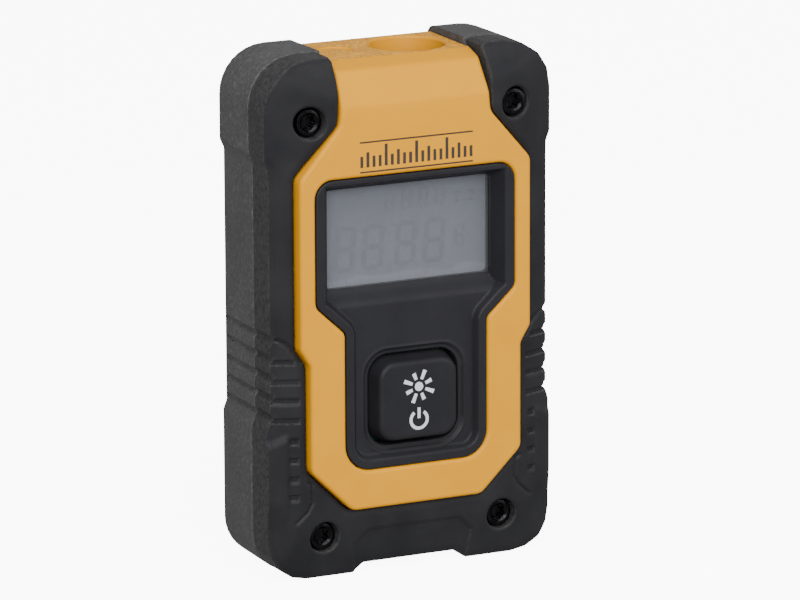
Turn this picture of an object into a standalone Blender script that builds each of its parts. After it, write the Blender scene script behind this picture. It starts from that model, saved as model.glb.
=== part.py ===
"""Pocket laser distance meter, standing on its feet: X is its width, -Y its front, +Z its top.

The origin is at the middle of the footprint, on the surface that it stands on. Sizes are in metres.
A hard front shell carries a rubber bumper, closes onto a rear shell and is held by four screws.
Inside are the display, the one push button with its switch, the board, the optics and the battery.
"""

import math

import bmesh
import bpy
from mathutils import Matrix, Vector

MM = 0.001

# Overall size
WIDTH = 47.3 * MM
HEIGHT = 79.4 * MM
DEPTH = 21.6 * MM
GAP = 0.3 * MM  # clearance between any two pieces

# Body outline, seen from the front
MID_STEP = 0.65 * MM  # how far the grip is narrower than the upper corner pads, each side
LOW_STEP = 0.1 * MM  # the same for the lower corner pads
LOW_PAD_TOP = 23.4 * MM
PAD_RAMP = 1.4 * MM  # height over which a pad's side slopes in to the grip
UPPER_PAD_DROP = 14.4 * MM  # from the top of the body to the foot of the upper pads' sides
TOP_RADIUS = 7.5 * MM
FOOT_RADIUS = 6.5 * MM
FOOT_GAP_HALF = 7.7 * MM
FOOT_HEIGHT = 1.35 * MM
FOOT_RUN = 1.6 * MM
STEP_RADIUS = 0.8 * MM

# Levels from front to back
PAD_PROUD = 0.5 * MM  # upper pads stand this far in front of the hard face
FACE_PROUD = 0.9 * MM  # the hard face stands this far in front of the bumper
BUMPER_DEPTH = 7.2 * MM
PAD_SLOPE_IN = 0.6 * MM  # an upper pad's front starts to fall away this far out from its inner edge
PAD_SLOPE = 0.28
SIDE_SLOPE_IN = 18.7 * MM  # below the pads the front falls away from here out
SIDE_SLOPE = 0.43
FOOT_SLOPE_TOP = 8.0 * MM  # and from here down
FOOT_SLOPE = 0.23
PAD_FADE_LOW = 19.0 * MM  # below the top of the body, where the pads start to rise
PAD_FADE_HIGH = 14.0 * MM
SEAM = 0.4 * MM
RIM_HEIGHT = 2.0 * MM  # inner rim of the rear shell, standing forward inside the bumper
BUMPER_FLARE = 0.2 * MM
REAR_DRAFT = 0.6 * MM
REAR_ROUND = 1.8 * MM

# Walls
BUMPER_SKIN = 2.2 * MM
BUMPER_WALL = 1.6 * MM
CARRIER = 1.5 * MM
REAR_WALL = 1.5 * MM
LEDGE = 1.6 * MM  # how far the rear shell's sealing ledge stands in from its wall
LEDGE_DEPTH = 1.4 * MM  # from the parting line back
MERGE = 0.5 * MM  # shapes that are joined overlap by this
TOP_WALL = 2.0 * MM
CAVITY_TOP_DROP = 4.8 * MM

# Hard face outline
STRIP_UPPER = 4.6 * MM  # bumper strip beside the display
STRIP_LOWER = 6.2 * MM  # bumper strip beside the button
PAD_WIDTH = 12.0 * MM  # each upper pad, at the top
FACE_BOTTOM = 10.5 * MM
FACE_BOTTOM_HALF_IN = 6.7 * MM
FACE_CHAMFER = 6.6 * MM
FACE_SHOULDER_DROP = 17.5 * MM
FACE_THROAT_DROP = 9.8 * MM
THROAT_FLARE = 0.8 * MM
FACE_TOP_DROP = 1.1 * MM
FACE_ROUND = 0.6 * MM
WAIST_DROP = 4.6 * MM  # the hard face widens this far below the bezel's neck
WAIST_RISE = 2.6 * MM
FACE_CORNER = 2.0 * MM
WAIST_CORNER = 1.5 * MM
THROAT_CORNER = 2.5 * MM
TONGUE_CORNER = 0.3 * MM
LEAN_DROP = 6.9 * MM  # where the upper front starts to lean back
LEAN_RUN = 3.3 * MM
LEAN_RISE = 5.4 * MM
TONGUE_BACK = 1.6 * MM  # how far the top face stops short of the back
NOTCH_DROP = 0.5 * MM  # the rear shell behind the top face is this much lower
BROW_DROP = 1.0 * MM  # the sloping brow between the lean and the top face
BROW_RUN = 3.2 * MM

# Display and keypad panel
BEZEL_DROP = 18.0 * MM
BEZEL_SIDE = 2.65 * MM  # hard face left beside the display
BEZEL_KEY_SIDE = 5.7 * MM  # hard face left beside the keypad
BEZEL_BOTTOM = 16.4 * MM
BEZEL_BACK = 4.1 * MM
BEZEL_LIP = 1.6 * MM
BEZEL_FOOT_CORNER = 4.0 * MM
NECK_CORNER = 1.5 * MM
SHOULDER_CORNER = 1.8 * MM
BEZEL_TOP_CORNER = 2.7 * MM
BEZEL_EDGE = 0.3 * MM
DISPLAY_CORNER = 0.8 * MM
DISPLAY_MARGIN = 3.0 * MM
DISPLAY_TOP_MARGIN = 2.0 * MM
DISPLAY_HEIGHT = 15.2 * MM
DISPLAY_SINK = 3.2 * MM
SHOULDER_DROP = 1.8 * MM
WELL_RISE = 0.4 * MM  # from the shoulder to the foot of the display's well
KEYPAD_FLARE = 1.0 * MM
KEYPAD_DRAFT = 0.5 * MM
NECK_DROP = 4.4 * MM
KEY_SINK = 1.3 * MM
WINDOW_THICK = 0.8 * MM
WINDOW_REBATE = 1.0 * MM
LCD_THICK = 1.6 * MM
LCD_OVER = 1.8 * MM  # the panel reaches this far past the visible display
BACKLIGHT_THICK = 1.2 * MM
CONNECTOR_HEIGHT = 1.6 * MM
CONNECTOR_CORNER = 0.2 * MM
PLATE_CORNER = 0.6 * MM

# Push button and its switch
BUTTON_SIDE = 5.25 * MM  # keypad panel left beside the button
BUTTON_LIFT = 4.2 * MM  # button above the panel's lower edge
BUTTON_HEIGHT = 11.9 * MM
BUTTON_PROUD = 0.5 * MM
BUTTON_DRAFT = 0.7 * MM
BUTTON_RADIUS = 2.6 * MM
BUTTON_FLANGE = 1.2 * MM
BUTTON_FLANGE_THICK = 0.7 * MM
BUTTON_EDGE = 0.4 * MM
HOLE_CHAMFER = 0.6 * MM
KEY_WEB = 1.2 * MM
TRAVEL = 0.6 * MM
STEM_RADIUS = 1.55 * MM
STEM_LENGTH = 2.0 * MM
SWITCH_HALF = 3.0 * MM
SWITCH_FRONT_ROOM = 1.1 * MM

# Board and battery
BOARD_THICK = 1.0 * MM
BOARD_TOP_DROP = 20.0 * MM
BOARD_BOTTOM = 10.0 * MM
BOARD_TAIL_BOTTOM = 4.0 * MM
BOARD_TAIL_HALF = 9.0 * MM
BOARD_CORNER = 0.8 * MM
PARTS_RISE = 1.5 * MM  # from the cell up to the two parts on the back of the board
PARTS_HEIGHT = 6.0 * MM
CAN_LEFT = -15.0 * MM
CAN_RIGHT = -2.0 * MM
CHIP_LEFT = 2.0 * MM
CHIP_RIGHT = 8.0 * MM
CHIP_THICK = 0.9 * MM
CAN_THICK = 1.2 * MM
CELL_THICK = 6.4 * MM
CELL_HALF = 13.0 * MM
CELL_BOTTOM = 13.0 * MM
CELL_HEIGHT = 37.0 * MM
CELL_EDGE = 0.8 * MM
CELL_CORNER = 1.5 * MM
FOAM_IN = 2.5 * MM  # the foam pad stands in from the cell's edges
CELL_ROOM = 1.9 * MM  # from the board to the cell

# Optics
RECEIVER_RADIUS = 5.8 * MM  # port in the top face
EMITTER_RADIUS = 2.7 * MM
RECEIVER_SIDE = 1.45 * MM  # top face left beside the receiver port
EMITTER_SIDE = 1.65 * MM
PORT_Y = 2.4 * MM
PORT_DEPTH = 3.2 * MM
PORT_WALL = 0.7 * MM
CHASSIS_HEIGHT = 13.1 * MM
BARREL_RADIUS = 5.9 * MM
LENS_RADIUS = 5.1 * MM
LENS_EDGE = 1.4 * MM
LENS_CROWN = 1.1 * MM
RETAINER_WALL = 0.7 * MM
RETAINER_HEIGHT = 1.5 * MM
SENSOR_RADIUS = 2.4 * MM
SENSOR_HEIGHT = 2.0 * MM
LASER_RADIUS = 3.3 * MM
LASER_BORE = 2.7 * MM
LASER_WALL = 0.9 * MM
CARD_THICK = 0.8 * MM
CARD_HALF = 4.5 * MM
WEB_HALF = 2.5 * MM  # web between the receiver's barrel and the laser's clamp
LENS_SEAT = 0.8 * MM
CONE_RISE = 3.0 * MM
DOME_STEPS = 6
COLLIMATOR_SINK = 3.0 * MM
COLLIMATOR_THICK = 2.0 * MM
DIODE_HEIGHT = 2.6 * MM
DIODE_BASE = 1.2 * MM
DIODE_STEP = 0.8 * MM
PANE_LIFT = 0.2 * MM
PANE_THICK = 0.8 * MM

# Fasteners
SCREW_IN_TOP = 6.8 * MM
SCREW_DROP_TOP = 9.1 * MM
SCREW_IN_LOW = 8.9 * MM
SCREW_UP_LOW = 6.55 * MM
HEAD_RADIUS = 2.1 * MM
HEAD_THICK = 1.0 * MM
HEAD_EDGE = 0.3 * MM
HEAD_SINK = 2.4 * MM  # head below the hard face
SOCKET_RADIUS = 1.15 * MM
SOCKET_DEPTH = 0.6 * MM
SHANK_RADIUS = 1.0 * MM
SHANK_LENGTH = 8.5 * MM
BOSS_WALL = 1.2 * MM

# Charging port and its cover
SOCKET_HALF = 3.75 * MM
SOCKET_THICK = 2.6 * MM
SOCKET_LENGTH = 5.4 * MM
SOCKET_SHELL = 0.4 * MM
SOCKET_END = 1.0 * MM
COVER_THICK = 0.6 * MM
COVER_OVER = 1.6 * MM
COVER_STRAP = 2.2 * MM
STRAP_HALF = 2.0 * MM
KNUCKLE_RADIUS = 0.33 * MM

# Grip grooves
GROOVES = 5
GROOVE_FIRST = 25.6 * MM
GROOVE_PITCH = 3.0 * MM
GROOVE_WIDTH = 1.0 * MM
GROOVE_DEPTH = 0.5 * MM
SLOT_REACH = 3.3 * MM
SLOT_START = 0.9 * MM
SLOT_DROP = 0.7 * MM
SLOT_HALF = 0.3 * MM

# Smoothness
ARC_SEGMENTS = 4
ROUND_STEPS = 3
CIRCLE = 32
BOSS_SIDES = 20
SMOOTH_ANGLE = math.radians(35)
LEAST_RADIUS = 0.05 * MM
LEVEL_STEP = 0.01 * MM
OVERRUN = 3.0 * MM  # a cutter reaches this far past what it cuts
AXES = {"X": Vector((1, 0, 0)), "Y": Vector((0, 1, 0)), "Z": Vector((0, 0, 1))}

# Levels and half widths worked out from the sizes above
UPPER_HALF = WIDTH / 2
MID_HALF = UPPER_HALF - MID_STEP
LOW_HALF = UPPER_HALF - LOW_STEP
PAD_Y = -DEPTH / 2
BACK_Y = DEPTH / 2
FACE_Y = PAD_Y + PAD_PROUD
BUMPER_Y = FACE_Y + FACE_PROUD
BUMPER_BACK_Y = BUMPER_Y + BUMPER_DEPTH
REAR_FRONT_Y = BUMPER_BACK_Y + SEAM
RIM_Y = REAR_FRONT_Y - RIM_HEIGHT
CARRIER_Y = BUMPER_Y + BUMPER_SKIN + GAP
CARRIER_BACK_Y = CARRIER_Y + CARRIER
REAR_INNER_Y = BACK_Y - REAR_WALL
FACE_WIDE = UPPER_HALF - STRIP_UPPER
FACE_NARROW = UPPER_HALF - STRIP_LOWER
TONGUE_HALF = UPPER_HALF - PAD_WIDTH
FACE_TOP = HEIGHT - FACE_TOP_DROP
LID_BACK_Y = BACK_Y - TONGUE_BACK
SOLE_Z = -REAR_DRAFT
INNER_INSET = BUMPER_WALL + BUMPER_FLARE / 2 + GAP
CAVITY_TOP = HEIGHT - CAVITY_TOP_DROP
LEAN_Z = HEIGHT - LEAN_DROP
BEZEL_WIDE = FACE_WIDE - BEZEL_SIDE
BEZEL_NARROW = FACE_NARROW - BEZEL_KEY_SIDE
BEZEL_TOP = HEIGHT - BEZEL_DROP
BEZEL_BACK_Y = FACE_Y + BEZEL_BACK
DISPLAY_HALF = BEZEL_WIDE - DISPLAY_MARGIN
DISPLAY_TOP = BEZEL_TOP - DISPLAY_TOP_MARGIN
DISPLAY_BOTTOM = DISPLAY_TOP - DISPLAY_HEIGHT
SHOULDER_Z = DISPLAY_BOTTOM - SHOULDER_DROP
NECK_Z = SHOULDER_Z - NECK_DROP
KEY_Y = FACE_Y + KEY_SINK
WINDOW_Y = FACE_Y + DISPLAY_SINK
LCD_Y = max(WINDOW_Y + WINDOW_THICK, BEZEL_BACK_Y) + GAP
BACKLIGHT_Y = LCD_Y + LCD_THICK + GAP
BOARD_Y = BACKLIGHT_Y + BACKLIGHT_THICK + GAP
BOARD_BACK_Y = BOARD_Y + BOARD_THICK
BOARD_TOP = HEIGHT - BOARD_TOP_DROP
BUTTON_HALF = BEZEL_NARROW - BUTTON_SIDE
BUTTON_BOTTOM = BEZEL_BOTTOM + BUTTON_LIFT
BUTTON_TOP = BUTTON_BOTTOM + BUTTON_HEIGHT
BUTTON_Z = BUTTON_BOTTOM + BUTTON_HEIGHT / 2
BUTTON_Y = FACE_Y - BUTTON_PROUD
WEB_BACK_Y = KEY_Y + KEY_WEB
FLANGE_Y = WEB_BACK_Y + GAP
FLANGE_BACK_Y = FLANGE_Y + BUTTON_FLANGE_THICK
STEM_Y = FLANGE_BACK_Y + GAP
SWITCH_Y = FLANGE_BACK_Y + SWITCH_FRONT_ROOM
CELL_Y = BOARD_BACK_Y + CELL_ROOM
RECEIVER_X = TONGUE_HALF - RECEIVER_SIDE - RECEIVER_RADIUS
EMITTER_X = -(TONGUE_HALF - EMITTER_SIDE - EMITTER_RADIUS)
PORT_FLOOR = FACE_TOP - PORT_DEPTH
COLLAR_TOP = FACE_TOP - TOP_WALL + 2 * LEAST_RADIUS
OPTICS_HALF = -EMITTER_X + LASER_RADIUS + LASER_WALL + 2 * GAP
CHASSIS_TOP = PORT_FLOOR - GAP
CHASSIS_BOTTOM = CHASSIS_TOP - CHASSIS_HEIGHT
HEAD_Y = FACE_Y + HEAD_SINK
HEAD_BACK_Y = HEAD_Y + HEAD_THICK
BOSS_RADIUS = SHANK_RADIUS + GAP + BOSS_WALL
SOCKET_Y = BOARD_BACK_Y + GAP
PORT_Z = FOOT_HEIGHT + BUMPER_WALL

SCREWS = (
    (UPPER_HALF - SCREW_IN_TOP, HEIGHT - SCREW_DROP_TOP),
    (-(UPPER_HALF - SCREW_IN_TOP), HEIGHT - SCREW_DROP_TOP),
    (UPPER_HALF - SCREW_IN_LOW, SCREW_UP_LOW),
    (-(UPPER_HALF - SCREW_IN_LOW), SCREW_UP_LOW),
)


# Scene and materials


def clear_scene():
    for obj in list(bpy.data.objects):
        bpy.data.objects.remove(obj, do_unlink=True)


def collection(name):
    made = bpy.data.collections.new(name)
    bpy.context.scene.collection.children.link(made)
    return made


def linear(channel):
    """An 8-bit sRGB channel as Blender's linear value."""
    share = channel / 255
    return share / 12.92 if share <= 0.04045 else ((share + 0.055) / 1.055) ** 2.4


def material(name, rgb, roughness, metallic=0.0, alpha=1.0):
    made = bpy.data.materials.get(name)
    if made:
        return made
    made = bpy.data.materials.new(name)
    made.use_nodes = True
    shader = made.node_tree.nodes["Principled BSDF"]
    shader.inputs["Base Color"].default_value = (*map(linear, rgb), 1.0)
    shader.inputs["Roughness"].default_value = roughness
    shader.inputs["Metallic"].default_value = metallic
    shader.inputs["Alpha"].default_value = alpha
    return made


def yellow_plastic():
    return material("yellow_plastic", (236, 181, 81), 0.45)


def black_rubber():
    return material("black_rubber", (50, 50, 52), 0.7)


def black_plastic():
    return material("black_plastic", (58, 58, 58), 0.65)


def dark_plastic():
    return material("dark_plastic", (44, 43, 45), 0.5)


def dark_steel():
    return material("dark_steel", (70, 70, 72), 0.35, metallic=1.0)


def brass():
    return material("brass", (200, 165, 90), 0.35, metallic=1.0)


def board_green():
    return material("board_green", (30, 92, 58), 0.5)


def tinned_steel():
    return material("tinned_steel", (190, 192, 194), 0.35, metallic=1.0)


def clear_glass():
    return material("clear_glass", (200, 208, 214), 0.05, alpha=0.35)


# Shapes


def add_object(name, mesh, finish, home):
    obj = bpy.data.objects.new(name, mesh)
    home.objects.link(obj)
    if finish:
        mesh.materials.append(finish)
        mesh.shade_smooth()
        mesh.set_sharp_from_angle(angle=SMOOTH_ANGLE)
    else:
        obj.hide_render = True
        obj.display_type = "WIRE"
    return obj


def part(name, mesh, finish):
    return add_object(name, mesh, finish, PARTS)


def helper(name, mesh):
    return add_object(name, mesh, None, CUTTERS)


def mesh_from(bm, name):
    bmesh.ops.recalc_face_normals(bm, faces=bm.faces)
    mesh = bpy.data.meshes.new(name)
    bm.to_mesh(mesh)
    bm.free()
    return mesh


def mirrored(half):
    """A closed outline from its right half, listed from the bottom up as (x, z, corner radius)."""
    return list(half) + [(-x, z, radius) for x, z, radius in reversed(half)]


def rounded(corners, inset=0.0, segments=ARC_SEGMENTS):
    """The outline's points, moved in by inset, with each corner an arc of the same number of points."""
    points = []
    for index, (x, z, radius) in enumerate(corners):
        corner = Vector((x, z))
        before = (corner - Vector(corners[index - 1][:2])).normalized()
        after = (Vector(corners[(index + 1) % len(corners)][:2]) - corner).normalized()
        left_before = Vector((-before.y, before.x))
        left_after = Vector((-after.y, after.x))
        mitre = (left_before + left_after) / (1 + left_before.dot(left_after))
        turn = math.atan2(before.x * after.y - before.y * after.x, before.dot(after))
        side = math.copysign(1, turn)
        bend = max(radius - side * inset, LEAST_RADIUS)
        centre = corner + mitre * (inset + side * bend)
        for step in range(segments + 1):
            swing = Matrix.Rotation(turn * step / segments, 2)
            points.append(centre - swing @ (left_before * side * bend))
    return points


def loft(name, rings):
    """A closed mesh through rings of points that match one to one."""
    bm = bmesh.new()
    loops = [[bm.verts.new(point) for point in ring] for ring in rings]
    for near, far in zip(loops, loops[1:]):
        for index in range(len(near)):
            following = (index + 1) % len(near)
            bm.faces.new((near[index], near[following], far[following], far[index]))
    bm.faces.new(loops[0])
    bm.faces.new(list(reversed(loops[-1])))
    return mesh_from(bm, name)


def slab(name, corners, levels):
    """A solid with one outline, at each level (y, inset) from front to back."""
    rings = [[(p.x, y, p.y) for p in rounded(corners, inset)] for y, inset in levels]
    return loft(name, rings)


def front_round(y, radius, inset=0.0):
    """Levels of a quarter round from a front face at y back to the full outline."""
    angles = [math.pi / 2 * step / ROUND_STEPS for step in range(ROUND_STEPS + 1)]
    return [
        (y + radius * (1 - math.cos(angle)), inset + radius * (1 - math.sin(angle)))
        for angle in angles
    ]


def back_round(y, radius, inset=0.0):
    """The same towards a back face at y."""
    return [(2 * y - level, edge) for level, edge in reversed(front_round(y, radius, inset))]


def add_box(bm, low, high):
    centre = (Vector(low) + Vector(high)) / 2
    size = Vector(high) - Vector(low)
    place = Matrix.Translation(centre) @ Matrix.Diagonal((*size, 1.0))
    bmesh.ops.create_cube(bm, size=1.0, matrix=place)


def box(name, *ranges):
    """One mesh of one or more boxes, each given as its low and high corners."""
    bm = bmesh.new()
    for low, high in ranges:
        add_box(bm, low, high)
    return mesh_from(bm, name)


def prism(name, profile, half_width):
    """A profile of (y, z) points drawn across the body from -half_width to +half_width."""
    return loft(name, [[(x, y, z) for y, z in profile] for x in (-half_width, half_width)])


def rod(name, centre, radius, length, axis="Z", sides=CIRCLE):
    """A cylinder from centre, running by length along +X, +Y or +Z."""
    turn = Vector((0, 0, 1)).rotation_difference(AXES[axis]).to_matrix().to_4x4()
    shift = Matrix.Translation((0, 0, length / 2))
    bm = bmesh.new()
    bmesh.ops.create_cone(
        bm,
        cap_ends=True,
        segments=sides,
        radius1=radius,
        radius2=radius,
        depth=length,
        matrix=Matrix.Translation(centre) @ turn @ shift,
    )
    return mesh_from(bm, name)


def turned(name, centre, profile, finish=None, axis="Z"):
    """A turned piece: its profile is (radius, height) points from the top down its outer side."""
    mesh = bpy.data.meshes.new(name)
    points = [(radius, 0.0, height) for radius, height in profile]
    mesh.from_pydata(points, [(i, i + 1) for i in range(len(points) - 1)], [])
    made = part(name, mesh, finish) if finish else helper(name, mesh)
    made.location = centre
    made.rotation_euler.x = math.pi / 2 if axis == "Y" else 0.0
    spin = made.modifiers.new("turn", "SCREW")
    spin.steps = spin.render_steps = CIRCLE
    spin.use_merge_vertices = True
    spin.merge_threshold = 0.00001
    spin.use_smooth_shade = True
    return made


def combine(target, other, operation):
    change = target.modifiers.new(f"{operation.lower()}_{other.name}", "BOOLEAN")
    change.operation = operation
    change.solver = "EXACT"
    change.object = other


def cut(target, other):
    combine(target, other, "DIFFERENCE")


def join(target, other):
    combine(target, other, "UNION")


# Outlines, seen from the front


def body_outline():
    """The feet reach below the ground, where both shells are cut level."""
    upper_foot = HEIGHT - UPPER_PAD_DROP
    return mirrored([
        (FOOT_GAP_HALF, FOOT_HEIGHT, STEP_RADIUS),
        (FOOT_GAP_HALF + FOOT_RUN, SOLE_Z, STEP_RADIUS),
        (LOW_HALF, SOLE_Z, FOOT_RADIUS),
        (LOW_HALF, LOW_PAD_TOP, STEP_RADIUS),
        (MID_HALF, LOW_PAD_TOP + PAD_RAMP, STEP_RADIUS),
        (MID_HALF, upper_foot - PAD_RAMP, STEP_RADIUS),
        (UPPER_HALF, upper_foot, STEP_RADIUS),
        (UPPER_HALF, HEIGHT, TOP_RADIUS),
    ])


def cavity_outline():
    """The body outline, with its top lowered so that the upper corners stay solid."""
    corners = body_outline()[:8]
    corners[7] = (UPPER_HALF, CAVITY_TOP + BUMPER_WALL, TOP_RADIUS / 2)
    return mirrored(corners)


def face_outline(top=FACE_TOP):
    waist = NECK_Z - WAIST_DROP
    bottom_half = FACE_NARROW - FACE_BOTTOM_HALF_IN
    return mirrored([
        (bottom_half, FACE_BOTTOM, FACE_CORNER),
        (FACE_NARROW, FACE_BOTTOM + FACE_CHAMFER, FACE_CORNER),
        (FACE_NARROW, waist, WAIST_CORNER),
        (FACE_WIDE, waist + WAIST_RISE, WAIST_CORNER),
        (FACE_WIDE, HEIGHT - FACE_SHOULDER_DROP, FACE_CORNER),
        (TONGUE_HALF + THROAT_FLARE, HEIGHT - FACE_THROAT_DROP, THROAT_CORNER),
        (TONGUE_HALF, top, TONGUE_CORNER),
    ])


def bezel_outline():
    return mirrored([
        (BEZEL_NARROW, BEZEL_BOTTOM, BEZEL_FOOT_CORNER),
        (BEZEL_NARROW, NECK_Z, NECK_CORNER),
        (BEZEL_WIDE, SHOULDER_Z, SHOULDER_CORNER),
        (BEZEL_WIDE, BEZEL_TOP, BEZEL_TOP_CORNER),
    ])


def rectangle(half, low, high, radius):
    return mirrored([(half, low, radius), (half, high, radius)])


def button_outline():
    return rectangle(BUTTON_HALF, BUTTON_BOTTOM, BUTTON_TOP, BUTTON_RADIUS)


# Casing


def groove_cutter():
    """Grip grooves round both sides, with a short slot in the front face behind each but the last."""
    grooves = []
    for index in range(GROOVES):
        z = GROOVE_FIRST + index * GROOVE_PITCH
        low = z - GROOVE_WIDTH / 2
        high = z + GROOVE_WIDTH / 2
        for side in (-1, 1):
            ends = sorted((side * (MID_HALF - GROOVE_DEPTH), side * (MID_HALF + OVERRUN)))
            grooves.append(((ends[0], PAD_Y - OVERRUN, low), (ends[1], BACK_Y - REAR_ROUND, high)))
    return helper("groove_cutter", box("groove_cutter", *grooves))


def slot_cutter():
    slots = []
    for index in range(GROOVES - 1):
        z = GROOVE_FIRST - SLOT_DROP + index * GROOVE_PITCH
        for side in (-1, 1):
            ends = sorted((side * (MID_HALF - SLOT_REACH), side * (MID_HALF - SLOT_START)))
            low = (ends[0], BUMPER_Y - OVERRUN, z - SLOT_HALF)
            high = (ends[1], BUMPER_Y + GROOVE_DEPTH, z + SLOT_HALF)
            slots.append((low, high))
    return helper("slot_cutter", box("slot_cutter", *slots))


def bumper_front_cutter():
    """What lies in front of the bumper: the foot slope, level strips, raised upper pads and the lean."""
    front = PAD_Y - OVERRUN
    past = HEIGHT + OVERRUN
    lean = LEAN_RUN / LEAN_RISE
    profile = [
        (front, -OVERRUN),
        (BUMPER_Y + FOOT_SLOPE * (FOOT_SLOPE_TOP + OVERRUN), -OVERRUN),
        (BUMPER_Y, FOOT_SLOPE_TOP),
        (BUMPER_Y, HEIGHT - PAD_FADE_LOW),
        (PAD_Y, HEIGHT - PAD_FADE_HIGH),
        (PAD_Y, LEAN_Z),
        (PAD_Y + lean * (past - LEAN_Z), past),
        (front, past),
    ]
    return helper("bumper_front_cutter", prism("bumper_front_cutter", profile, WIDTH))


def side_slope_cutter(name, side):
    """What lies in front of one side of the bumper, where its front falls away outwards."""
    front = PAD_Y - OVERRUN
    end = UPPER_HALF + OVERRUN
    pad_in = TONGUE_HALF + PAD_SLOPE_IN
    levels = [
        (-OVERRUN, SIDE_SLOPE_IN, BUMPER_Y, SIDE_SLOPE),
        (HEIGHT - PAD_FADE_LOW, SIDE_SLOPE_IN, BUMPER_Y, SIDE_SLOPE),
        (HEIGHT - PAD_FADE_HIGH, pad_in, PAD_Y, PAD_SLOPE),
        (HEIGHT + OVERRUN, pad_in, PAD_Y, PAD_SLOPE),
    ]
    rings = []
    for z, start, y, slope in levels:
        near = start - MERGE
        rings.append([
            (side * near, front, z),
            (side * near, y - slope * MERGE, z),
            (side * end, y + slope * (end - start), z),
            (side * end, front, z),
        ])
    return helper(name, loft(name, rings))


def ground_cutter():
    low = (-WIDTH, PAD_Y - OVERRUN, SOLE_Z - OVERRUN)
    return helper("ground_cutter", box("ground_cutter", (low, (WIDTH, BACK_Y + OVERRUN, 0.0))))


def face_front_cutter():
    """What lies in front of and above the hard shell: the lean and the brow above it."""
    front = PAD_Y - OVERRUN
    brow = FACE_TOP - BROW_DROP
    lean_y = FACE_Y + LEAN_RUN / LEAN_RISE * (brow - LEAN_Z)
    profile = [
        (front, LEAN_Z),
        (FACE_Y, LEAN_Z),
        (lean_y, brow),
        (lean_y + BROW_RUN, FACE_TOP),
        (lean_y + BROW_RUN, FACE_TOP + OVERRUN),
        (front, FACE_TOP + OVERRUN),
    ]
    return helper("face_front_cutter", prism("face_front_cutter", profile, WIDTH))


def front_bumper():
    levels = [(PAD_Y, BUMPER_FLARE), (BUMPER_BACK_Y, 0.0)]
    made = part("front_bumper", slab("front_bumper", body_outline(), levels), black_rubber())
    cavity = slab("bumper_cavity", cavity_outline(), [
        (CARRIER_Y - GAP, INNER_INSET - GAP),
        (BUMPER_BACK_Y + OVERRUN, INNER_INSET - GAP),
    ])
    window = slab("face_window", face_outline(HEIGHT + OVERRUN), [
        (PAD_Y - OVERRUN, -GAP),
        (BUMPER_BACK_Y + OVERRUN, -GAP),
    ])
    cut(made, bumper_front_cutter())
    cut(made, side_slope_cutter("left_slope", -1))
    cut(made, side_slope_cutter("right_slope", 1))
    cut(made, helper("bumper_cavity", cavity))
    cut(made, helper("face_window", window))
    cut(made, bpy.data.objects["groove_cutter"])
    cut(made, bpy.data.objects["ground_cutter"])
    cut(made, slot_cutter())
    for index, (x, z) in enumerate(SCREWS):
        start = (x, PAD_Y - OVERRUN, z)
        well = rod(f"well_{index}", start, HEAD_RADIUS + GAP, DEPTH / 2, "Y")
        cut(made, helper(f"well_{index}", well))
    return made


def front_shell():
    face = slab("front_shell", face_outline(), front_round(FACE_Y, FACE_ROUND) + [(CARRIER_Y, 0.0)])
    made = part("front_shell", face, yellow_plastic())
    carrier = slab("carrier", cavity_outline(), [
        (CARRIER_Y - LEAST_RADIUS, INNER_INSET),
        (CARRIER_BACK_Y, INNER_INSET),
    ])
    edge = FACE_Y + FACE_ROUND
    tongue_low = (-TONGUE_HALF, edge, CAVITY_TOP - MERGE)
    tongue = box("tongue", (tongue_low, (TONGUE_HALF, CARRIER_BACK_Y, FACE_TOP)))
    lid_low = (-TONGUE_HALF, edge, FACE_TOP - TOP_WALL)
    lid = box("lid", (lid_low, (TONGUE_HALF, LID_BACK_Y, FACE_TOP)))
    for name, mesh in (("carrier", carrier), ("tongue", tongue), ("lid", lid)):
        join(made, helper(name, mesh))
    ports = ((RECEIVER_X, RECEIVER_RADIUS, "receiver"), (EMITTER_X, EMITTER_RADIUS, "emitter"))
    for x, radius, name in ports:
        foot = (x, PORT_Y, PORT_FLOOR)
        collar = rod(f"{name}_collar", foot, radius + PORT_WALL, COLLAR_TOP - PORT_FLOOR)
        join(made, helper(f"{name}_collar", collar))
    for x, radius, name in ports:
        foot = (x, PORT_Y, PORT_FLOOR - OVERRUN)
        port = rod(f"{name}_port", foot, radius, PORT_DEPTH + 2 * OVERRUN)
        cut(made, helper(f"{name}_port", port))
    cut(made, face_front_cutter())
    hole = slab("bezel_hole", bezel_outline(), [
        (FACE_Y - OVERRUN, -GAP),
        (CARRIER_BACK_Y + OVERRUN, -GAP),
    ])
    cut(made, helper("bezel_hole", hole))
    for index, (x, z) in enumerate(SCREWS):
        start = (x, HEAD_Y - OVERRUN, z)
        seat = rod(f"seat_{index}", start, HEAD_RADIUS + GAP, OVERRUN + HEAD_THICK + GAP, "Y")
        bore = rod(f"bore_{index}", (x, HEAD_Y, z), SHANK_RADIUS + GAP, DEPTH / 2, "Y")
        cut(made, helper(f"seat_{index}", seat))
        cut(made, helper(f"bore_{index}", bore))
    return made


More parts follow.
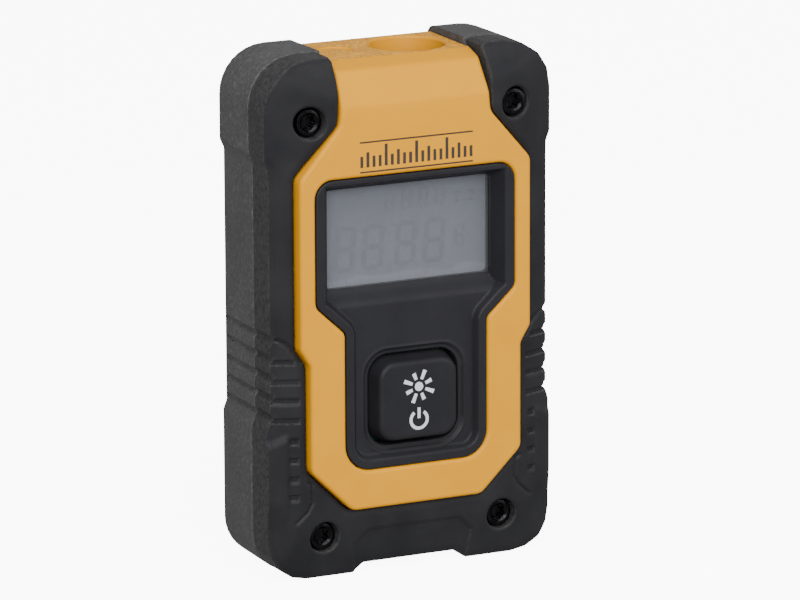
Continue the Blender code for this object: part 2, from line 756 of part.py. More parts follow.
def rear_shell():
    levels = [(REAR_FRONT_Y, 0.0)] + back_round(BACK_Y, REAR_ROUND, REAR_DRAFT)
    made = part("rear_shell", slab("rear_shell", body_outline(), levels), black_plastic())
    rim_back = REAR_FRONT_Y + MERGE
    rim = slab("rim", cavity_outline(), [(RIM_Y, INNER_INSET), (rim_back, INNER_INSET)])
    join(made, helper("rim", rim))
    ledge_y = REAR_FRONT_Y + LEDGE_DEPTH
    cavity = slab("rear_cavity", cavity_outline(), [
        (RIM_Y - OVERRUN, BUMPER_WALL + LEDGE),
        (ledge_y, BUMPER_WALL + LEDGE),
        (ledge_y + MERGE, BUMPER_WALL),
        (REAR_INNER_Y, BUMPER_WALL + REAR_DRAFT),
    ])
    cut(made, helper("rear_cavity", cavity))
    bay = TONGUE_HALF + GAP
    front = RIM_Y - OVERRUN
    bay_low = (-bay, front, FACE_TOP - TOP_WALL - GAP)
    lid_bay = box("lid_bay", (bay_low, (bay, LID_BACK_Y + GAP, HEIGHT + OVERRUN)))
    notch_low = (-bay, front, FACE_TOP - NOTCH_DROP)
    top_notch = box("top_notch", (notch_low, (bay, BACK_Y + OVERRUN, HEIGHT + OVERRUN)))
    optics_low = (-OPTICS_HALF, front, CAVITY_TOP - OVERRUN)
    optics_bay = box("optics_bay", (optics_low, (OPTICS_HALF, REAR_INNER_Y, COLLAR_TOP + GAP)))
    cut(made, helper("lid_bay", lid_bay))
    cut(made, helper("top_notch", top_notch))
    cut(made, helper("optics_bay", optics_bay))
    start = CARRIER_BACK_Y + GAP
    boss_length = REAR_INNER_Y + MERGE - start
    pilot_length = HEAD_BACK_Y + SHANK_LENGTH + GAP - CARRIER_BACK_Y
    bore = SHANK_RADIUS + GAP
    for index, (x, z) in enumerate(SCREWS):
        boss = rod(f"boss_{index}", (x, start, z), BOSS_RADIUS, boss_length, "Y", BOSS_SIDES)
        pilot = rod(f"pilot_{index}", (x, CARRIER_BACK_Y, z), bore, pilot_length, "Y", BOSS_SIDES)
        join(made, helper(f"boss_{index}", boss))
        cut(made, helper(f"pilot_{index}", pilot))
    cut(made, bpy.data.objects["groove_cutter"])
    cut(made, bpy.data.objects["ground_cutter"])
    tail = BOARD_TAIL_HALF + GAP
    tail_high = (tail, SOCKET_Y + SOCKET_THICK + GAP, BOARD_BOTTOM)
    cut(made, helper("tail_bay", box("tail_bay", ((-tail, BOARD_Y - GAP, PORT_Z), tail_high))))
    mouth_half = SOCKET_HALF + 2 * GAP
    mouth_low = (-mouth_half, SOCKET_Y - 2 * GAP, SOLE_Z - OVERRUN)
    mouth_high = (mouth_half, SOCKET_Y + SOCKET_THICK + 2 * GAP, PORT_Z + GAP)
    cut(made, helper("charging_mouth", box("charging_mouth", (mouth_low, mouth_high))))
    return made


def perimeter_gasket():
    """A flat ring of rubber between the carrier of the front shell and the rim of the rear shell."""
    front = CARRIER_BACK_Y + GAP
    back = RIM_Y - GAP
    inner = BUMPER_WALL + LEDGE - GAP / 3
    ring = slab("perimeter_gasket", cavity_outline(), [(front, INNER_INSET), (back, INNER_INSET)])
    made = part("perimeter_gasket", ring, black_rubber())
    hole = slab("gasket_hole", cavity_outline(), [(front - OVERRUN, inner), (back + OVERRUN, inner)])
    cut(made, helper("gasket_hole", hole))
    gate = TONGUE_HALF + GAP
    gate_low = (-gate, front - OVERRUN, CAVITY_TOP - OVERRUN)
    opening = box("gasket_gate", (gate_low, (gate, back + OVERRUN, HEIGHT)))
    cut(made, helper("gasket_gate", opening))
    return made


def case_screws():
    profile = [
        (0.0, HEAD_THICK),
        (HEAD_RADIUS - HEAD_EDGE, HEAD_THICK),
        (HEAD_RADIUS, HEAD_THICK - HEAD_EDGE),
        (HEAD_RADIUS, 0.0),
        (SHANK_RADIUS, 0.0),
        (SHANK_RADIUS, -SHANK_LENGTH + SHANK_RADIUS),
        (0.0, -SHANK_LENGTH),
    ]
    for index, (x, z) in enumerate(SCREWS):
        made = turned(f"case_screw_{index + 1}", (x, HEAD_BACK_Y, z), profile, dark_steel(), "Y")
        start = (x, HEAD_Y - OVERRUN, z)
        socket = rod(f"socket_{index}", start, SOCKET_RADIUS, OVERRUN + SOCKET_DEPTH, "Y", 6)
        cut(made, helper(f"socket_{index}", socket))


# Display and keypad


def display_bezel():
    levels = [(FACE_Y, BEZEL_EDGE), (FACE_Y + BEZEL_EDGE, 0.0), (BEZEL_BACK_Y, 0.0)]
    made = part("display_bezel", slab("display_bezel", bezel_outline(), levels), dark_plastic())
    # The display well narrows towards the window, and its floor ramps up to the keypad's floor.
    lip_half = BEZEL_WIDE - BEZEL_LIP
    lip_top = BEZEL_TOP - BEZEL_LIP / 2
    well_bottom = SHOULDER_Z + WELL_RISE
    well_rings = [
        (FACE_Y - OVERRUN, lip_half, well_bottom, lip_top),
        (FACE_Y, lip_half, well_bottom, lip_top),
        (WINDOW_Y, DISPLAY_HALF, DISPLAY_BOTTOM, DISPLAY_TOP),
        (BEZEL_BACK_Y + OVERRUN, DISPLAY_HALF, DISPLAY_BOTTOM, DISPLAY_TOP),
    ]
    well = loft("display_well", [
        [(p.x, y, p.y) for p in rounded(rectangle(half, low, high, DISPLAY_CORNER))]
        for y, half, low, high in well_rings
    ])
    cut(made, helper("display_well", well))
    rebate_half = DISPLAY_HALF + WINDOW_REBATE + GAP
    rebate_low = (-rebate_half, WINDOW_Y - GAP / 3, DISPLAY_BOTTOM - WINDOW_REBATE - GAP)
    rebate_high = (rebate_half, BEZEL_BACK_Y + OVERRUN, DISPLAY_TOP + WINDOW_REBATE + GAP)
    cut(made, helper("window_rebate", box("window_rebate", (rebate_low, rebate_high))))
    keypad = mirrored([
        (BEZEL_NARROW - BEZEL_LIP, BEZEL_BOTTOM + BEZEL_LIP, BUTTON_RADIUS),
        (BEZEL_NARROW - BEZEL_LIP, NECK_Z, NECK_CORNER),
        (BEZEL_NARROW + KEYPAD_FLARE, SHOULDER_Z + WELL_RISE + GAP, KEYPAD_DRAFT),
    ])
    levels = [(FACE_Y - OVERRUN, 0.0), (FACE_Y, 0.0), (KEY_Y, KEYPAD_DRAFT)]
    floor = slab("keypad_floor", keypad, levels)
    cut(made, helper("keypad_floor", floor))
    side = BUTTON_DRAFT + GAP
    opening = slab("button_hole", button_outline(), [
        (KEY_Y - OVERRUN, -(side + HOLE_CHAMFER)),
        (KEY_Y, -(side + HOLE_CHAMFER)),
        (KEY_Y + HOLE_CHAMFER, -side),
        (BEZEL_BACK_Y + OVERRUN, -side),
    ])
    cut(made, helper("button_hole", opening))
    pocket_side = side + BUTTON_FLANGE
    pocket = slab("flange_pocket", button_outline(), [
        (WEB_BACK_Y, -pocket_side),
        (BEZEL_BACK_Y + OVERRUN, -pocket_side),
    ])
    cut(made, helper("flange_pocket", pocket))
    return made


def plate(name, finish, half, low, high, front, thickness, radius=PLATE_CORNER):
    levels = [(front, 0.0), (front + thickness, 0.0)]
    return part(name, slab(name, rectangle(half, low, high, radius), levels), finish)


def display_stack():
    glass = DISPLAY_HALF + WINDOW_REBATE
    plate("display_window", clear_glass(), glass, DISPLAY_BOTTOM - WINDOW_REBATE,
          DISPLAY_TOP + WINDOW_REBATE, WINDOW_Y + GAP / 3, WINDOW_THICK)
    grey = material("display_grey", (128, 136, 142), 0.4)
    over = LCD_OVER - WINDOW_REBATE
    plate("lcd_panel", grey, DISPLAY_HALF + over + WINDOW_REBATE, DISPLAY_BOTTOM - WINDOW_REBATE,
          DISPLAY_TOP + WINDOW_REBATE, LCD_Y, LCD_THICK)
    white = material("light_guide", (225, 228, 228), 0.4)
    connector_low = DISPLAY_BOTTOM - WINDOW_REBATE + GAP
    connector_high = connector_low + CONNECTOR_HEIGHT
    plate("lcd_backlight", white, DISPLAY_HALF + over, connector_high + GAP,
          DISPLAY_TOP, BACKLIGHT_Y, BACKLIGHT_THICK)
    plate("lcd_connector", black_rubber(), DISPLAY_HALF, connector_low, connector_high,
          BACKLIGHT_Y, BACKLIGHT_THICK, CONNECTOR_CORNER)


def measure_button():
    side = -BUTTON_DRAFT
    levels = front_round(BUTTON_Y, BUTTON_EDGE) + [
        (KEY_Y - LEAST_RADIUS, side),
        (FLANGE_Y, side),
        (FLANGE_Y + LEVEL_STEP, side - BUTTON_FLANGE),
        (FLANGE_BACK_Y, side - BUTTON_FLANGE),
    ]
    made = part("measure_button", slab("measure_button", button_outline(), levels), dark_plastic())
    centre = Vector((0.0, BUTTON_Y, BUTTON_Z))
    made.data.transform(Matrix.Translation(-centre))
    made.location = centre
    return made


def tact_switch():
    low = (-SWITCH_HALF, SWITCH_Y, BUTTON_Z - SWITCH_HALF)
    high = (SWITCH_HALF, BOARD_Y - GAP, BUTTON_Z + SWITCH_HALF)
    made = part("tact_switch_body", box("tact_switch_body", (low, high)), black_plastic())
    start = SWITCH_Y - OVERRUN
    length = STEM_Y + STEM_LENGTH + TRAVEL + GAP / 2 - start
    place = (0, start, BUTTON_Z)
    pocket = rod("stem_pocket", place, STEM_RADIUS + GAP, length, "Y", BOSS_SIDES)
    cut(made, helper("stem_pocket", pocket))
    pin = rod("tact_switch_stem", (0, 0, 0), STEM_RADIUS, STEM_LENGTH, "Y", BOSS_SIDES)
    stem = part("tact_switch_stem", pin, material("switch_stem", (150, 60, 48), 0.5))
    stem.location = (0, STEM_Y, BUTTON_Z)


# Electronics


def main_board():
    half = MID_HALF - BUMPER_WALL - LEDGE - 2 * GAP
    outline = mirrored([
        (BOARD_TAIL_HALF, BOARD_TAIL_BOTTOM, BOARD_CORNER),
        (BOARD_TAIL_HALF, BOARD_BOTTOM, BOARD_CORNER),
        (half, BOARD_BOTTOM, BOARD_CORNER),
        (half, BOARD_TOP, BOARD_CORNER),
    ])
    laminate = slab("main_board", outline, [(BOARD_Y, 0.0), (BOARD_BACK_Y, 0.0)])
    return part("main_board", laminate, board_green())


def board_parts():
    front = BOARD_BACK_Y + GAP
    low = CELL_BOTTOM + CELL_HEIGHT + PARTS_RISE
    high = low + PARTS_HEIGHT
    can = box("shield_can", ((CAN_LEFT, front, low), (CAN_RIGHT, front + CAN_THICK, high)))
    part("shield_can", can, tinned_steel())
    chip = box("processor_chip", ((CHIP_LEFT, front, low), (CHIP_RIGHT, front + CHIP_THICK, high)))
    part("processor_chip", chip, dark_plastic())


def battery():
    cell_top = CELL_BOTTOM + CELL_HEIGHT
    levels = front_round(CELL_Y, CELL_EDGE) + back_round(CELL_Y + CELL_THICK, CELL_EDGE)
    outline = rectangle(CELL_HALF, CELL_BOTTOM, cell_top, CELL_CORNER)
    foil = material("foil", (176, 180, 184), 0.35, metallic=0.8)
    part("battery_cell", slab("battery_cell", outline, levels), foil)
    front = CELL_Y + CELL_THICK + GAP
    plate("battery_foam", black_rubber(), CELL_HALF - FOAM_IN, CELL_BOTTOM + FOAM_IN,
          cell_top - FOAM_IN, front, REAR_INNER_Y - GAP - front)


def charging_port():
    bottom = PORT_Z + 2 * GAP
    top = bottom + SOCKET_LENGTH
    back = SOCKET_Y + SOCKET_THICK
    shell = box("charging_socket", ((-SOCKET_HALF, SOCKET_Y, bottom), (SOCKET_HALF, back, top)))
    made = part("charging_socket", shell, tinned_steel())
    wall = SOCKET_SHELL
    mouth_low = (-SOCKET_HALF + wall, SOCKET_Y + wall, bottom - OVERRUN)
    mouth = box("socket_mouth", (mouth_low, (SOCKET_HALF - wall, back - wall, top - SOCKET_END)))
    cut(made, helper("socket_mouth", mouth))


def port_cover():
    """A rubber cover that lies in the gap between the feet, on a strap with its hinge behind the port."""
    flap_top = FOOT_HEIGHT - GAP
    flap_bottom = flap_top - COVER_THICK
    back = SOCKET_Y + SOCKET_THICK + COVER_OVER
    hinge = Vector((0.0, back + COVER_STRAP, (flap_top + flap_bottom) / 2))
    half = SOCKET_HALF + COVER_OVER
    flap = box("port_cover", ((-half, SOCKET_Y - COVER_OVER, flap_bottom), (half, back, flap_top)))
    cover = part("port_cover", flap, black_rubber())
    strap_low = (-STRAP_HALF, back - MERGE, flap_bottom)
    strap = box("cover_strap", (strap_low, (STRAP_HALF, hinge.y, flap_top)))
    knuckle = rod("cover_knuckle", (-STRAP_HALF, hinge.y, hinge.z), KNUCKLE_RADIUS, 2 * STRAP_HALF, "X")
    plug_low = (-SOCKET_HALF + GAP, SOCKET_Y + GAP, flap_bottom + LEAST_RADIUS)
    plug_high = (SOCKET_HALF - GAP, SOCKET_Y + SOCKET_THICK - GAP, PORT_Z)
    cover.data.transform(Matrix.Translation(-hinge))
    cover.location = hinge
    join(cover, helper("cover_strap", strap))
    join(cover, helper("cover_knuckle", knuckle))
    join(cover, helper("cover_plug", box("cover_plug", (plug_low, plug_high))))


# Optics


def optics_chassis():
    bore = LASER_RADIUS + GAP
    body = rod("optics_chassis", (RECEIVER_X, PORT_Y, CHASSIS_BOTTOM), BARREL_RADIUS, CHASSIS_HEIGHT)
    made = part("optics_chassis", body, dark_plastic())
    clamp = rod("laser_clamp", (EMITTER_X, PORT_Y, CHASSIS_BOTTOM), bore + LASER_WALL, CHASSIS_HEIGHT)
    web_low = (EMITTER_X, PORT_Y - WEB_HALF, CHASSIS_BOTTOM + MERGE)
    web = box("chassis_web", (web_low, (RECEIVER_X, PORT_Y + WEB_HALF, CHASSIS_TOP - MERGE)))
    join(made, helper("laser_clamp", clamp))
    join(made, helper("chassis_web", web))
    seat = CHASSIS_HEIGHT - RETAINER_HEIGHT - LENS_EDGE - 2 * GAP
    light_path = turned("light_path", (RECEIVER_X, PORT_Y, CHASSIS_BOTTOM), [
        (0.0, CHASSIS_HEIGHT + OVERRUN),
        (LENS_RADIUS + GAP, CHASSIS_HEIGHT + OVERRUN),
        (LENS_RADIUS + GAP, seat),
        (LENS_RADIUS - LENS_SEAT, seat),
        (SENSOR_RADIUS + GAP, SENSOR_HEIGHT + CONE_RISE),
        (SENSOR_RADIUS + GAP, -OVERRUN),
        (0.0, -OVERRUN),
    ])
    cut(made, light_path)
    bore_foot = (EMITTER_X, PORT_Y, CHASSIS_BOTTOM - OVERRUN)
    laser_bore = rod("laser_bore", bore_foot, bore, CHASSIS_HEIGHT + 2 * OVERRUN)
    cut(made, helper("laser_bore", laser_bore))


def receiver_parts():
    lens_z = CHASSIS_TOP - RETAINER_HEIGHT - LENS_EDGE - GAP
    crown_radius = (LENS_RADIUS**2 + LENS_CROWN**2) / (2 * LENS_CROWN)
    sweep = math.asin(LENS_RADIUS / crown_radius)
    angles = [sweep * step / DOME_STEPS for step in range(DOME_STEPS + 1)]
    base = LENS_EDGE - crown_radius * math.cos(sweep)
    profile = [(crown_radius * math.sin(a), base + crown_radius * math.cos(a)) for a in angles]
    profile += [(LENS_RADIUS, 0.0), (0.0, 0.0)]
    turned("receiver_lens", (RECEIVER_X, PORT_Y, lens_z), profile, clear_glass())
    ring_z = CHASSIS_TOP - RETAINER_HEIGHT
    ring = rod("receiver_lens_retainer", (RECEIVER_X, PORT_Y, ring_z), LENS_RADIUS, RETAINER_HEIGHT)
    made = part("receiver_lens_retainer", ring, dark_plastic())
    hole = turned("retainer_hole", (RECEIVER_X, PORT_Y, ring_z), [
        (0.0, RETAINER_HEIGHT + OVERRUN),
        (LENS_RADIUS - RETAINER_WALL, RETAINER_HEIGHT + OVERRUN),
        (LENS_RADIUS - RETAINER_WALL, -OVERRUN),
        (0.0, -OVERRUN),
    ])
    cut(made, hole)
    card_top = CHASSIS_BOTTOM - GAP
    card_low = (RECEIVER_X - BARREL_RADIUS, PORT_Y - CARD_HALF, card_top - CARD_THICK)
    card_high = (RECEIVER_X + BARREL_RADIUS, PORT_Y + CARD_HALF, card_top)
    part("receiver_board", box("receiver_board", (card_low, card_high)), board_green())
    sensor = rod("receiver_sensor", (RECEIVER_X, PORT_Y, CHASSIS_BOTTOM), SENSOR_RADIUS, SENSOR_HEIGHT)
    part("receiver_sensor", sensor, dark_steel())


def laser_parts():
    bottom = CHASSIS_BOTTOM + MERGE
    length = CHASSIS_TOP - bottom
    sleeve = rod("laser_barrel", (EMITTER_X, PORT_Y, bottom), LASER_RADIUS, length)
    made = part("laser_barrel", sleeve, brass())
    bore_foot = (EMITTER_X, PORT_Y, bottom - OVERRUN)
    bore = rod("barrel_bore", bore_foot, LASER_BORE, length + 2 * OVERRUN)
    cut(made, helper("barrel_bore", bore))
    lens_radius = LASER_BORE - GAP
    lens_foot = (EMITTER_X, PORT_Y, CHASSIS_TOP - COLLIMATOR_SINK)
    lens = rod("collimator_lens", lens_foot, lens_radius, COLLIMATOR_THICK)
    part("collimator_lens", lens, clear_glass())
    turned("laser_diode", (EMITTER_X, PORT_Y, bottom), [
        (0.0, DIODE_HEIGHT),
        (lens_radius - DIODE_STEP, DIODE_HEIGHT),
        (lens_radius - DIODE_STEP, DIODE_BASE),
        (lens_radius, DIODE_BASE),
        (lens_radius, 0.0),
        (0.0, 0.0),
    ], brass())
    pane_foot = (EMITTER_X, PORT_Y, PORT_FLOOR + PANE_LIFT)
    pane = rod("emitter_window", pane_foot, EMITTER_RADIUS - GAP, PANE_THICK)
    part("emitter_window", pane, clear_glass())


clear_scene()
PARTS = collection("laser_distance_meter")
CUTTERS = collection("cutters")
groove_cutter()
ground_cutter()
front_bumper()
front_shell()
rear_shell()
perimeter_gasket()
case_screws()
display_bezel()
display_stack()
measure_button()
tact_switch()
main_board()
board_parts()
battery()
charging_port()
port_cover()
optics_chassis()
receiver_parts()
laser_parts()
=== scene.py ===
"""Looks of the pocket laser distance meter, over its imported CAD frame.

Sizes are in millimetres until a mesh is made. X is the width, -Y the front, +Z the top.
"""

import math

import bmesh
import bpy
import numpy as np
from mathutils import Matrix, Vector


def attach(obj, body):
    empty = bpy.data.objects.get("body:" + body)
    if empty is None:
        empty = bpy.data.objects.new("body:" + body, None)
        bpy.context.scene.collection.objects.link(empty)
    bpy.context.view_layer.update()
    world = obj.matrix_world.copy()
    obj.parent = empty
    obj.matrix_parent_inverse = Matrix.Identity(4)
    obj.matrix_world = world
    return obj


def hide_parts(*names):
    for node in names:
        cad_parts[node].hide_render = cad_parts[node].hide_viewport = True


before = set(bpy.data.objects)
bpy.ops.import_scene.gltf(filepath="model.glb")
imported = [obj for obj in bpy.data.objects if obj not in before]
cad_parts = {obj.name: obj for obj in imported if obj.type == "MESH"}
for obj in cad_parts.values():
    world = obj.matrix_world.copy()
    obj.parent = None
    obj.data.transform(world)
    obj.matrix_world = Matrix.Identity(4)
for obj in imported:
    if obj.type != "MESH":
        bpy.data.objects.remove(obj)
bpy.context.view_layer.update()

MM = 0.001

# Sizes shared with the CAD
UPPER_HALF = 23.65
MID_HALF = 23.0
LOW_HALF = 23.55
HEIGHT = 79.4
FACE_Y = -10.3
PAD_Y = -10.8
BACK_Y = 10.8
BUMPER_Y = -9.4
BUMPER_BACK_Y = -2.2
REAR_FRONT_Y = -1.8
LID_BACK_Y = 9.2
FACE_TOP = 78.3
BROW_Z = 77.3
BROW_RUN = 3.2
TONGUE_HALF = 11.65
LEAN_Z = 72.5
LEAN = 3.3 / 5.4
PAD_LEAN_Z = 74.3
PAD_LEAN = 0.75
PAD_SLOPE = 0.28
SIDE_SLOPE = 0.43
FOOT_SLOPE = 0.23
BEZEL_TOP = 61.4
BEZEL_WIDE = 16.4
BEZEL_NARROW = 11.75
BEZEL_BOTTOM = 16.4
SHOULDER_Z = 42.4
NECK_Z = 38.0
KEY_Y = -9.0
LIP_Y = -10.15  # the bezel's lip, just below the hard face
WINDOW_Y = -7.1
DISPLAY_HALF = 13.4
DISPLAY_TOP = 59.4
DISPLAY_BOTTOM = 44.2
LCD_Y = -5.9
BUTTON_HALF = 6.5
BUTTON_LOW = 20.6
BUTTON_HIGH = 32.8
PORT_Y = 2.4
PORT_FLOOR = 75.1
RECEIVER_X = 4.4
RECEIVER_RADIUS = 5.8
EMITTER_X = -7.3
EMITTER_RADIUS = 2.7
HEAD_Y = -7.9
SCREWS = ((16.85, 70.3), (-16.85, 70.3), (14.75, 6.55), (-14.75, 6.55))
WELL_RADIUS = 2.4
GAP = 0.3

# The body's outline
FOOT_INNER = 7.7
FOOT_OUTER = 9.3
FOOT_LIFT = 1.35
FOOT_ROUND = 0.5
STEP_ROUND = 0.8
LOW_STEP = (23.4, 24.8)
HIGH_STEP = (63.6, 65.0)
LOW_CORNER = 6.5
TOP_CORNER = 7.5

# The grip grooves: their levels, their half heights at the mouth and at the floor, and their depth
GROOVES = [25.6 + 3.0 * index for index in range(5)]
GROOVE_MOUTH = 0.55
GROOVE_FLOOR = 0.3
GROOVE_DEPTH = 0.5
GROOVE_ROUND = 0.12

# The bumper's front
STRIP_EDGE = 18.7
FOOT_EDGE = 8.0
PAD_FLAT_HALF = 12.25
PAD_RISE = (60.4, 65.6)
SOFT_EDGE_END = (72.0, 76.0)
SOFT_EDGE_DROP = 0.3
SOFT_EDGE_RUN = 1.2
SWELL = 0.42
SLOT_DROP = 0.5
SLOT_DEPTH = 0.42
TOP_SLOT_DEPTH = 0.34
MARK_LEVELS = (21.9, 18.95, 16.05, 13.2)
MARK_X = 19.7
MARK_DEPTH = 0.36
SEAM_DEPTH = 0.26
FACET_DEPTH = 0.36

# The bezel: the walls of the display's well, and the frame of the button
WELL_HALF = 14.9
WELL_SIDE_RUN = 1.45
WELL_TOP = 60.5
WELL_TOP_RUN = 1.05
KEY_CLEARANCE = 0.95
KEY_FRAME = 1.8
MOAT_DEPTH = 0.28
RIDGE_HEIGHT = 0.12
KEY_TOP_Y = PAD_Y + 0.02

# The screws
UPPER_HEAD_RISE = 0.9
STAR_RADIUS = 1.05
STAR_LOBE = 0.17
STAR_DEPTH = 1.0
DISH_RADIUS = 1.5
DISH_FLOOR_RADIUS = 1.15
DISH_DEPTH = 0.25
CUT_CLEARANCE = 0.05

# The rear housing
SEAM_INSET = 0.12
BACK_ROUND = 2.5
BACK_INSET = 0.15
CAVITY_HALF = 20.4
CAVITY_LOW = 3.4
CAVITY_TOP = 72.8
CAVITY_BACK = 9.3
PORT_RIM = 1.0

# Printed marks: digits are (width, height, line)
DIGIT = (3.5, 7.0, 0.75)
UNIT_DIGIT = (1.7, 3.4, 0.4)
SMALL_DIGIT = (1.7, 3.0, 0.35)
INK = 0.1

# Rounds of the pieces' edges, and how far back their walls run
BUMPER_ROUND = 0.4
FACE_ROUND = 0.6
FACE_BACK = -6.9
BEZEL_ROUND = 0.22
BEZEL_BACK = -6.2
KEY_ROUND = 0.75
KEY_BACK = -7.6
KEY_FLARE = 0.6
KEY_CORNER = 2.6
KEY_HOLE_CORNER = 3.3
KEY_FRAME_CORNER = 4.0
CAVITY_CORNER = 3.0

# Meshes
KEY_PITCH = 0.2
PITCH = 0.22
FINE_PITCH = 0.18
BACK_LIP = 0.8
ROUND_STEPS = 5
FAR_OUT = 26.0

# Surroundings, in metres
FLOOR_HALF = 3.0
FLOOR_DROP = 0.0002
FLOOR_GLOW = 9.0
WORLD_STRENGTH = 0.5

# Camera: degrees, then millimetres
AZIMUTH, ELEVATION, ROLL = -25.5, 13.8, -0.27
CAMERA_TARGET = (2.06, 0.0, 39.43)
CAMERA_DISTANCE = 928.65
CAMERA_LENS = 276.75


# Outlines


def mirrored(half):
    """The whole outline from its right half, a list of (x, z, radius) from the bottom up."""
    return list(half) + [(-x, z, radius) for x, z, radius in reversed(half)]


def rounded(corners, inset=0.0, segments=8):
    """The outline's points, moved in by inset, with each corner an arc."""
    points = []
    for index, (x, z, radius) in enumerate(corners):
        corner = Vector((x, z))
        before = (corner - Vector(corners[index - 1][:2])).normalized()
        after = (Vector(corners[(index + 1) % len(corners)][:2]) - corner).normalized()
        left_before = Vector((-before.y, before.x))
        left_after = Vector((-after.y, after.x))
        mitre = (left_before + left_after) / (1 + left_before.dot(left_after))
        turn = math.atan2(before.x * after.y - before.y * after.x, before.dot(after))
        side = math.copysign(1, turn)
        bend = max(radius - side * inset, 0.03)
        centre = corner + mitre * (inset + side * bend)
        for step in range(segments + 1):
            swing = Matrix.Rotation(turn * step / segments, 2)
            points.append(centre - swing @ (left_before * side * bend))
    return [(p.x, p.y) for p in points]


def body_corners():
    return [
        (FOOT_INNER, FOOT_LIFT, FOOT_ROUND),
        (FOOT_OUTER, 0.0, STEP_ROUND),
        (LOW_HALF, 0.0, LOW_CORNER),
        (LOW_HALF, LOW_STEP[0], STEP_ROUND),
        (MID_HALF, LOW_STEP[1], STEP_ROUND),
        (MID_HALF, HIGH_STEP[0], STEP_ROUND),
        (UPPER_HALF, HIGH_STEP[1], STEP_ROUND),
        (UPPER_HALF, HEIGHT, TOP_CORNER),
    ]


def grooved_body():
    """The body outline with the grip grooves as notches in its sides."""
    half = body_corners()
    floor = MID_HALF - GROOVE_DEPTH
    notches = []
    for z in GROOVES:
        notches += [(MID_HALF, z - GROOVE_MOUTH, GROOVE_ROUND), (floor, z - GROOVE_FLOOR, GROOVE_ROUND)]
        notches += [(floor, z + GROOVE_FLOOR, GROOVE_ROUND), (MID_HALF, z + GROOVE_MOUTH, GROOVE_ROUND)]
    return mirrored(half[:5] + notches + half[5:])


def face_corners(top):
    return mirrored([
        (10.75, 10.5, 2.0),
        (17.45, 17.1, 2.0),
        (17.45, 33.4, 1.5),
        (19.05, 36.0, 1.5),
        (19.05, 61.9, 2.0),
        (12.45, 69.6, 2.5),
        (TONGUE_HALF, top, 0.3),
    ])


def bezel_corners():
    return mirrored([
        (BEZEL_NARROW - 0.1, BEZEL_BOTTOM + 0.2, 4.0),
        (BEZEL_NARROW - 0.1, NECK_Z, 1.5),
        (BEZEL_WIDE, SHOULDER_Z, 1.8),
        (BEZEL_WIDE, BEZEL_TOP, 2.7),
    ])


def rectangle(half, low, high, radius):
    return mirrored([(half, low, radius), (half, high, radius)])


# Distances and smooth steps, on arrays of points


def outline_distance(points):
    """A function giving the signed distance from (x, z) to a closed outline, negative inside."""
    start = np.array(points)
    end = np.roll(start, -1, axis=0)

    def distance(x, z):
        nearest = np.full(x.shape, 1e9)
        inside = np.zeros(x.shape, bool)
        for (x0, z0), (x1, z1) in zip(start, end):
            dx, dz = x1 - x0, z1 - z0
            size = dx * dx + dz * dz
            if size < 1e-12:
                continue
            share = np.clip(((x - x0) * dx + (z - z0) * dz) / size, 0, 1)
            away = (x - x0 - share * dx) ** 2 + (z - z0 - share * dz) ** 2
            nearest = np.minimum(nearest, away)
            if z0 != z1:
                crosses = ((z0 > z) != (z1 > z)) & (x < dx * (z - z0) / dz + x0)
                inside ^= crosses
        nearest = np.sqrt(nearest)
        return np.where(inside, -nearest, nearest)

    return distance


def path_distance(points, x, z):
    nearest = np.full(x.shape, 1e9)
    for (x0, z0), (x1, z1) in zip(points, points[1:]):
        dx, dz = x1 - x0, z1 - z0
        share = np.clip(((x - x0) * dx + (z - z0) * dz) / (dx * dx + dz * dz), 0, 1)
        away = np.hypot(x - x0 - share * dx, z - z0 - share * dz)
        nearest = np.minimum(nearest, away)
    return nearest


def ramp(value, low, high):
    share = np.clip((value - low) / (high - low), 0, 1)
    return share * share * (3 - 2 * share)


def soft_max(a, b, blend):
    return 0.5 * (a + b + np.sqrt((a - b) ** 2 + blend * blend))


def past_zero(value, blend):
    return soft_max(value, 0.0, blend)


# Mesh making


def object_from(name, mesh, body, replaced=()):
    obj = bpy.data.objects.new(name, mesh)
    bpy.context.scene.collection.objects.link(obj)
    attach(obj, body)
    if replaced:
        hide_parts(*replaced)
    return obj


def finish_mesh(mesh, angle=40):
    mesh.validate()
    mesh.shade_smooth()
    mesh.set_sharp_from_angle(angle=math.radians(angle))
    return mesh


def slope_of(distance, x, z):
    """The distance and its unit gradient at each point."""
    step = 0.02
    gx = distance(x + step, z) - distance(x - step, z)
    gz = distance(x, z + step) - distance(x, z - step)
    size = np.maximum(np.hypot(gx, gz), 1e-9)
    return distance(x, z), gx / size, gz / size


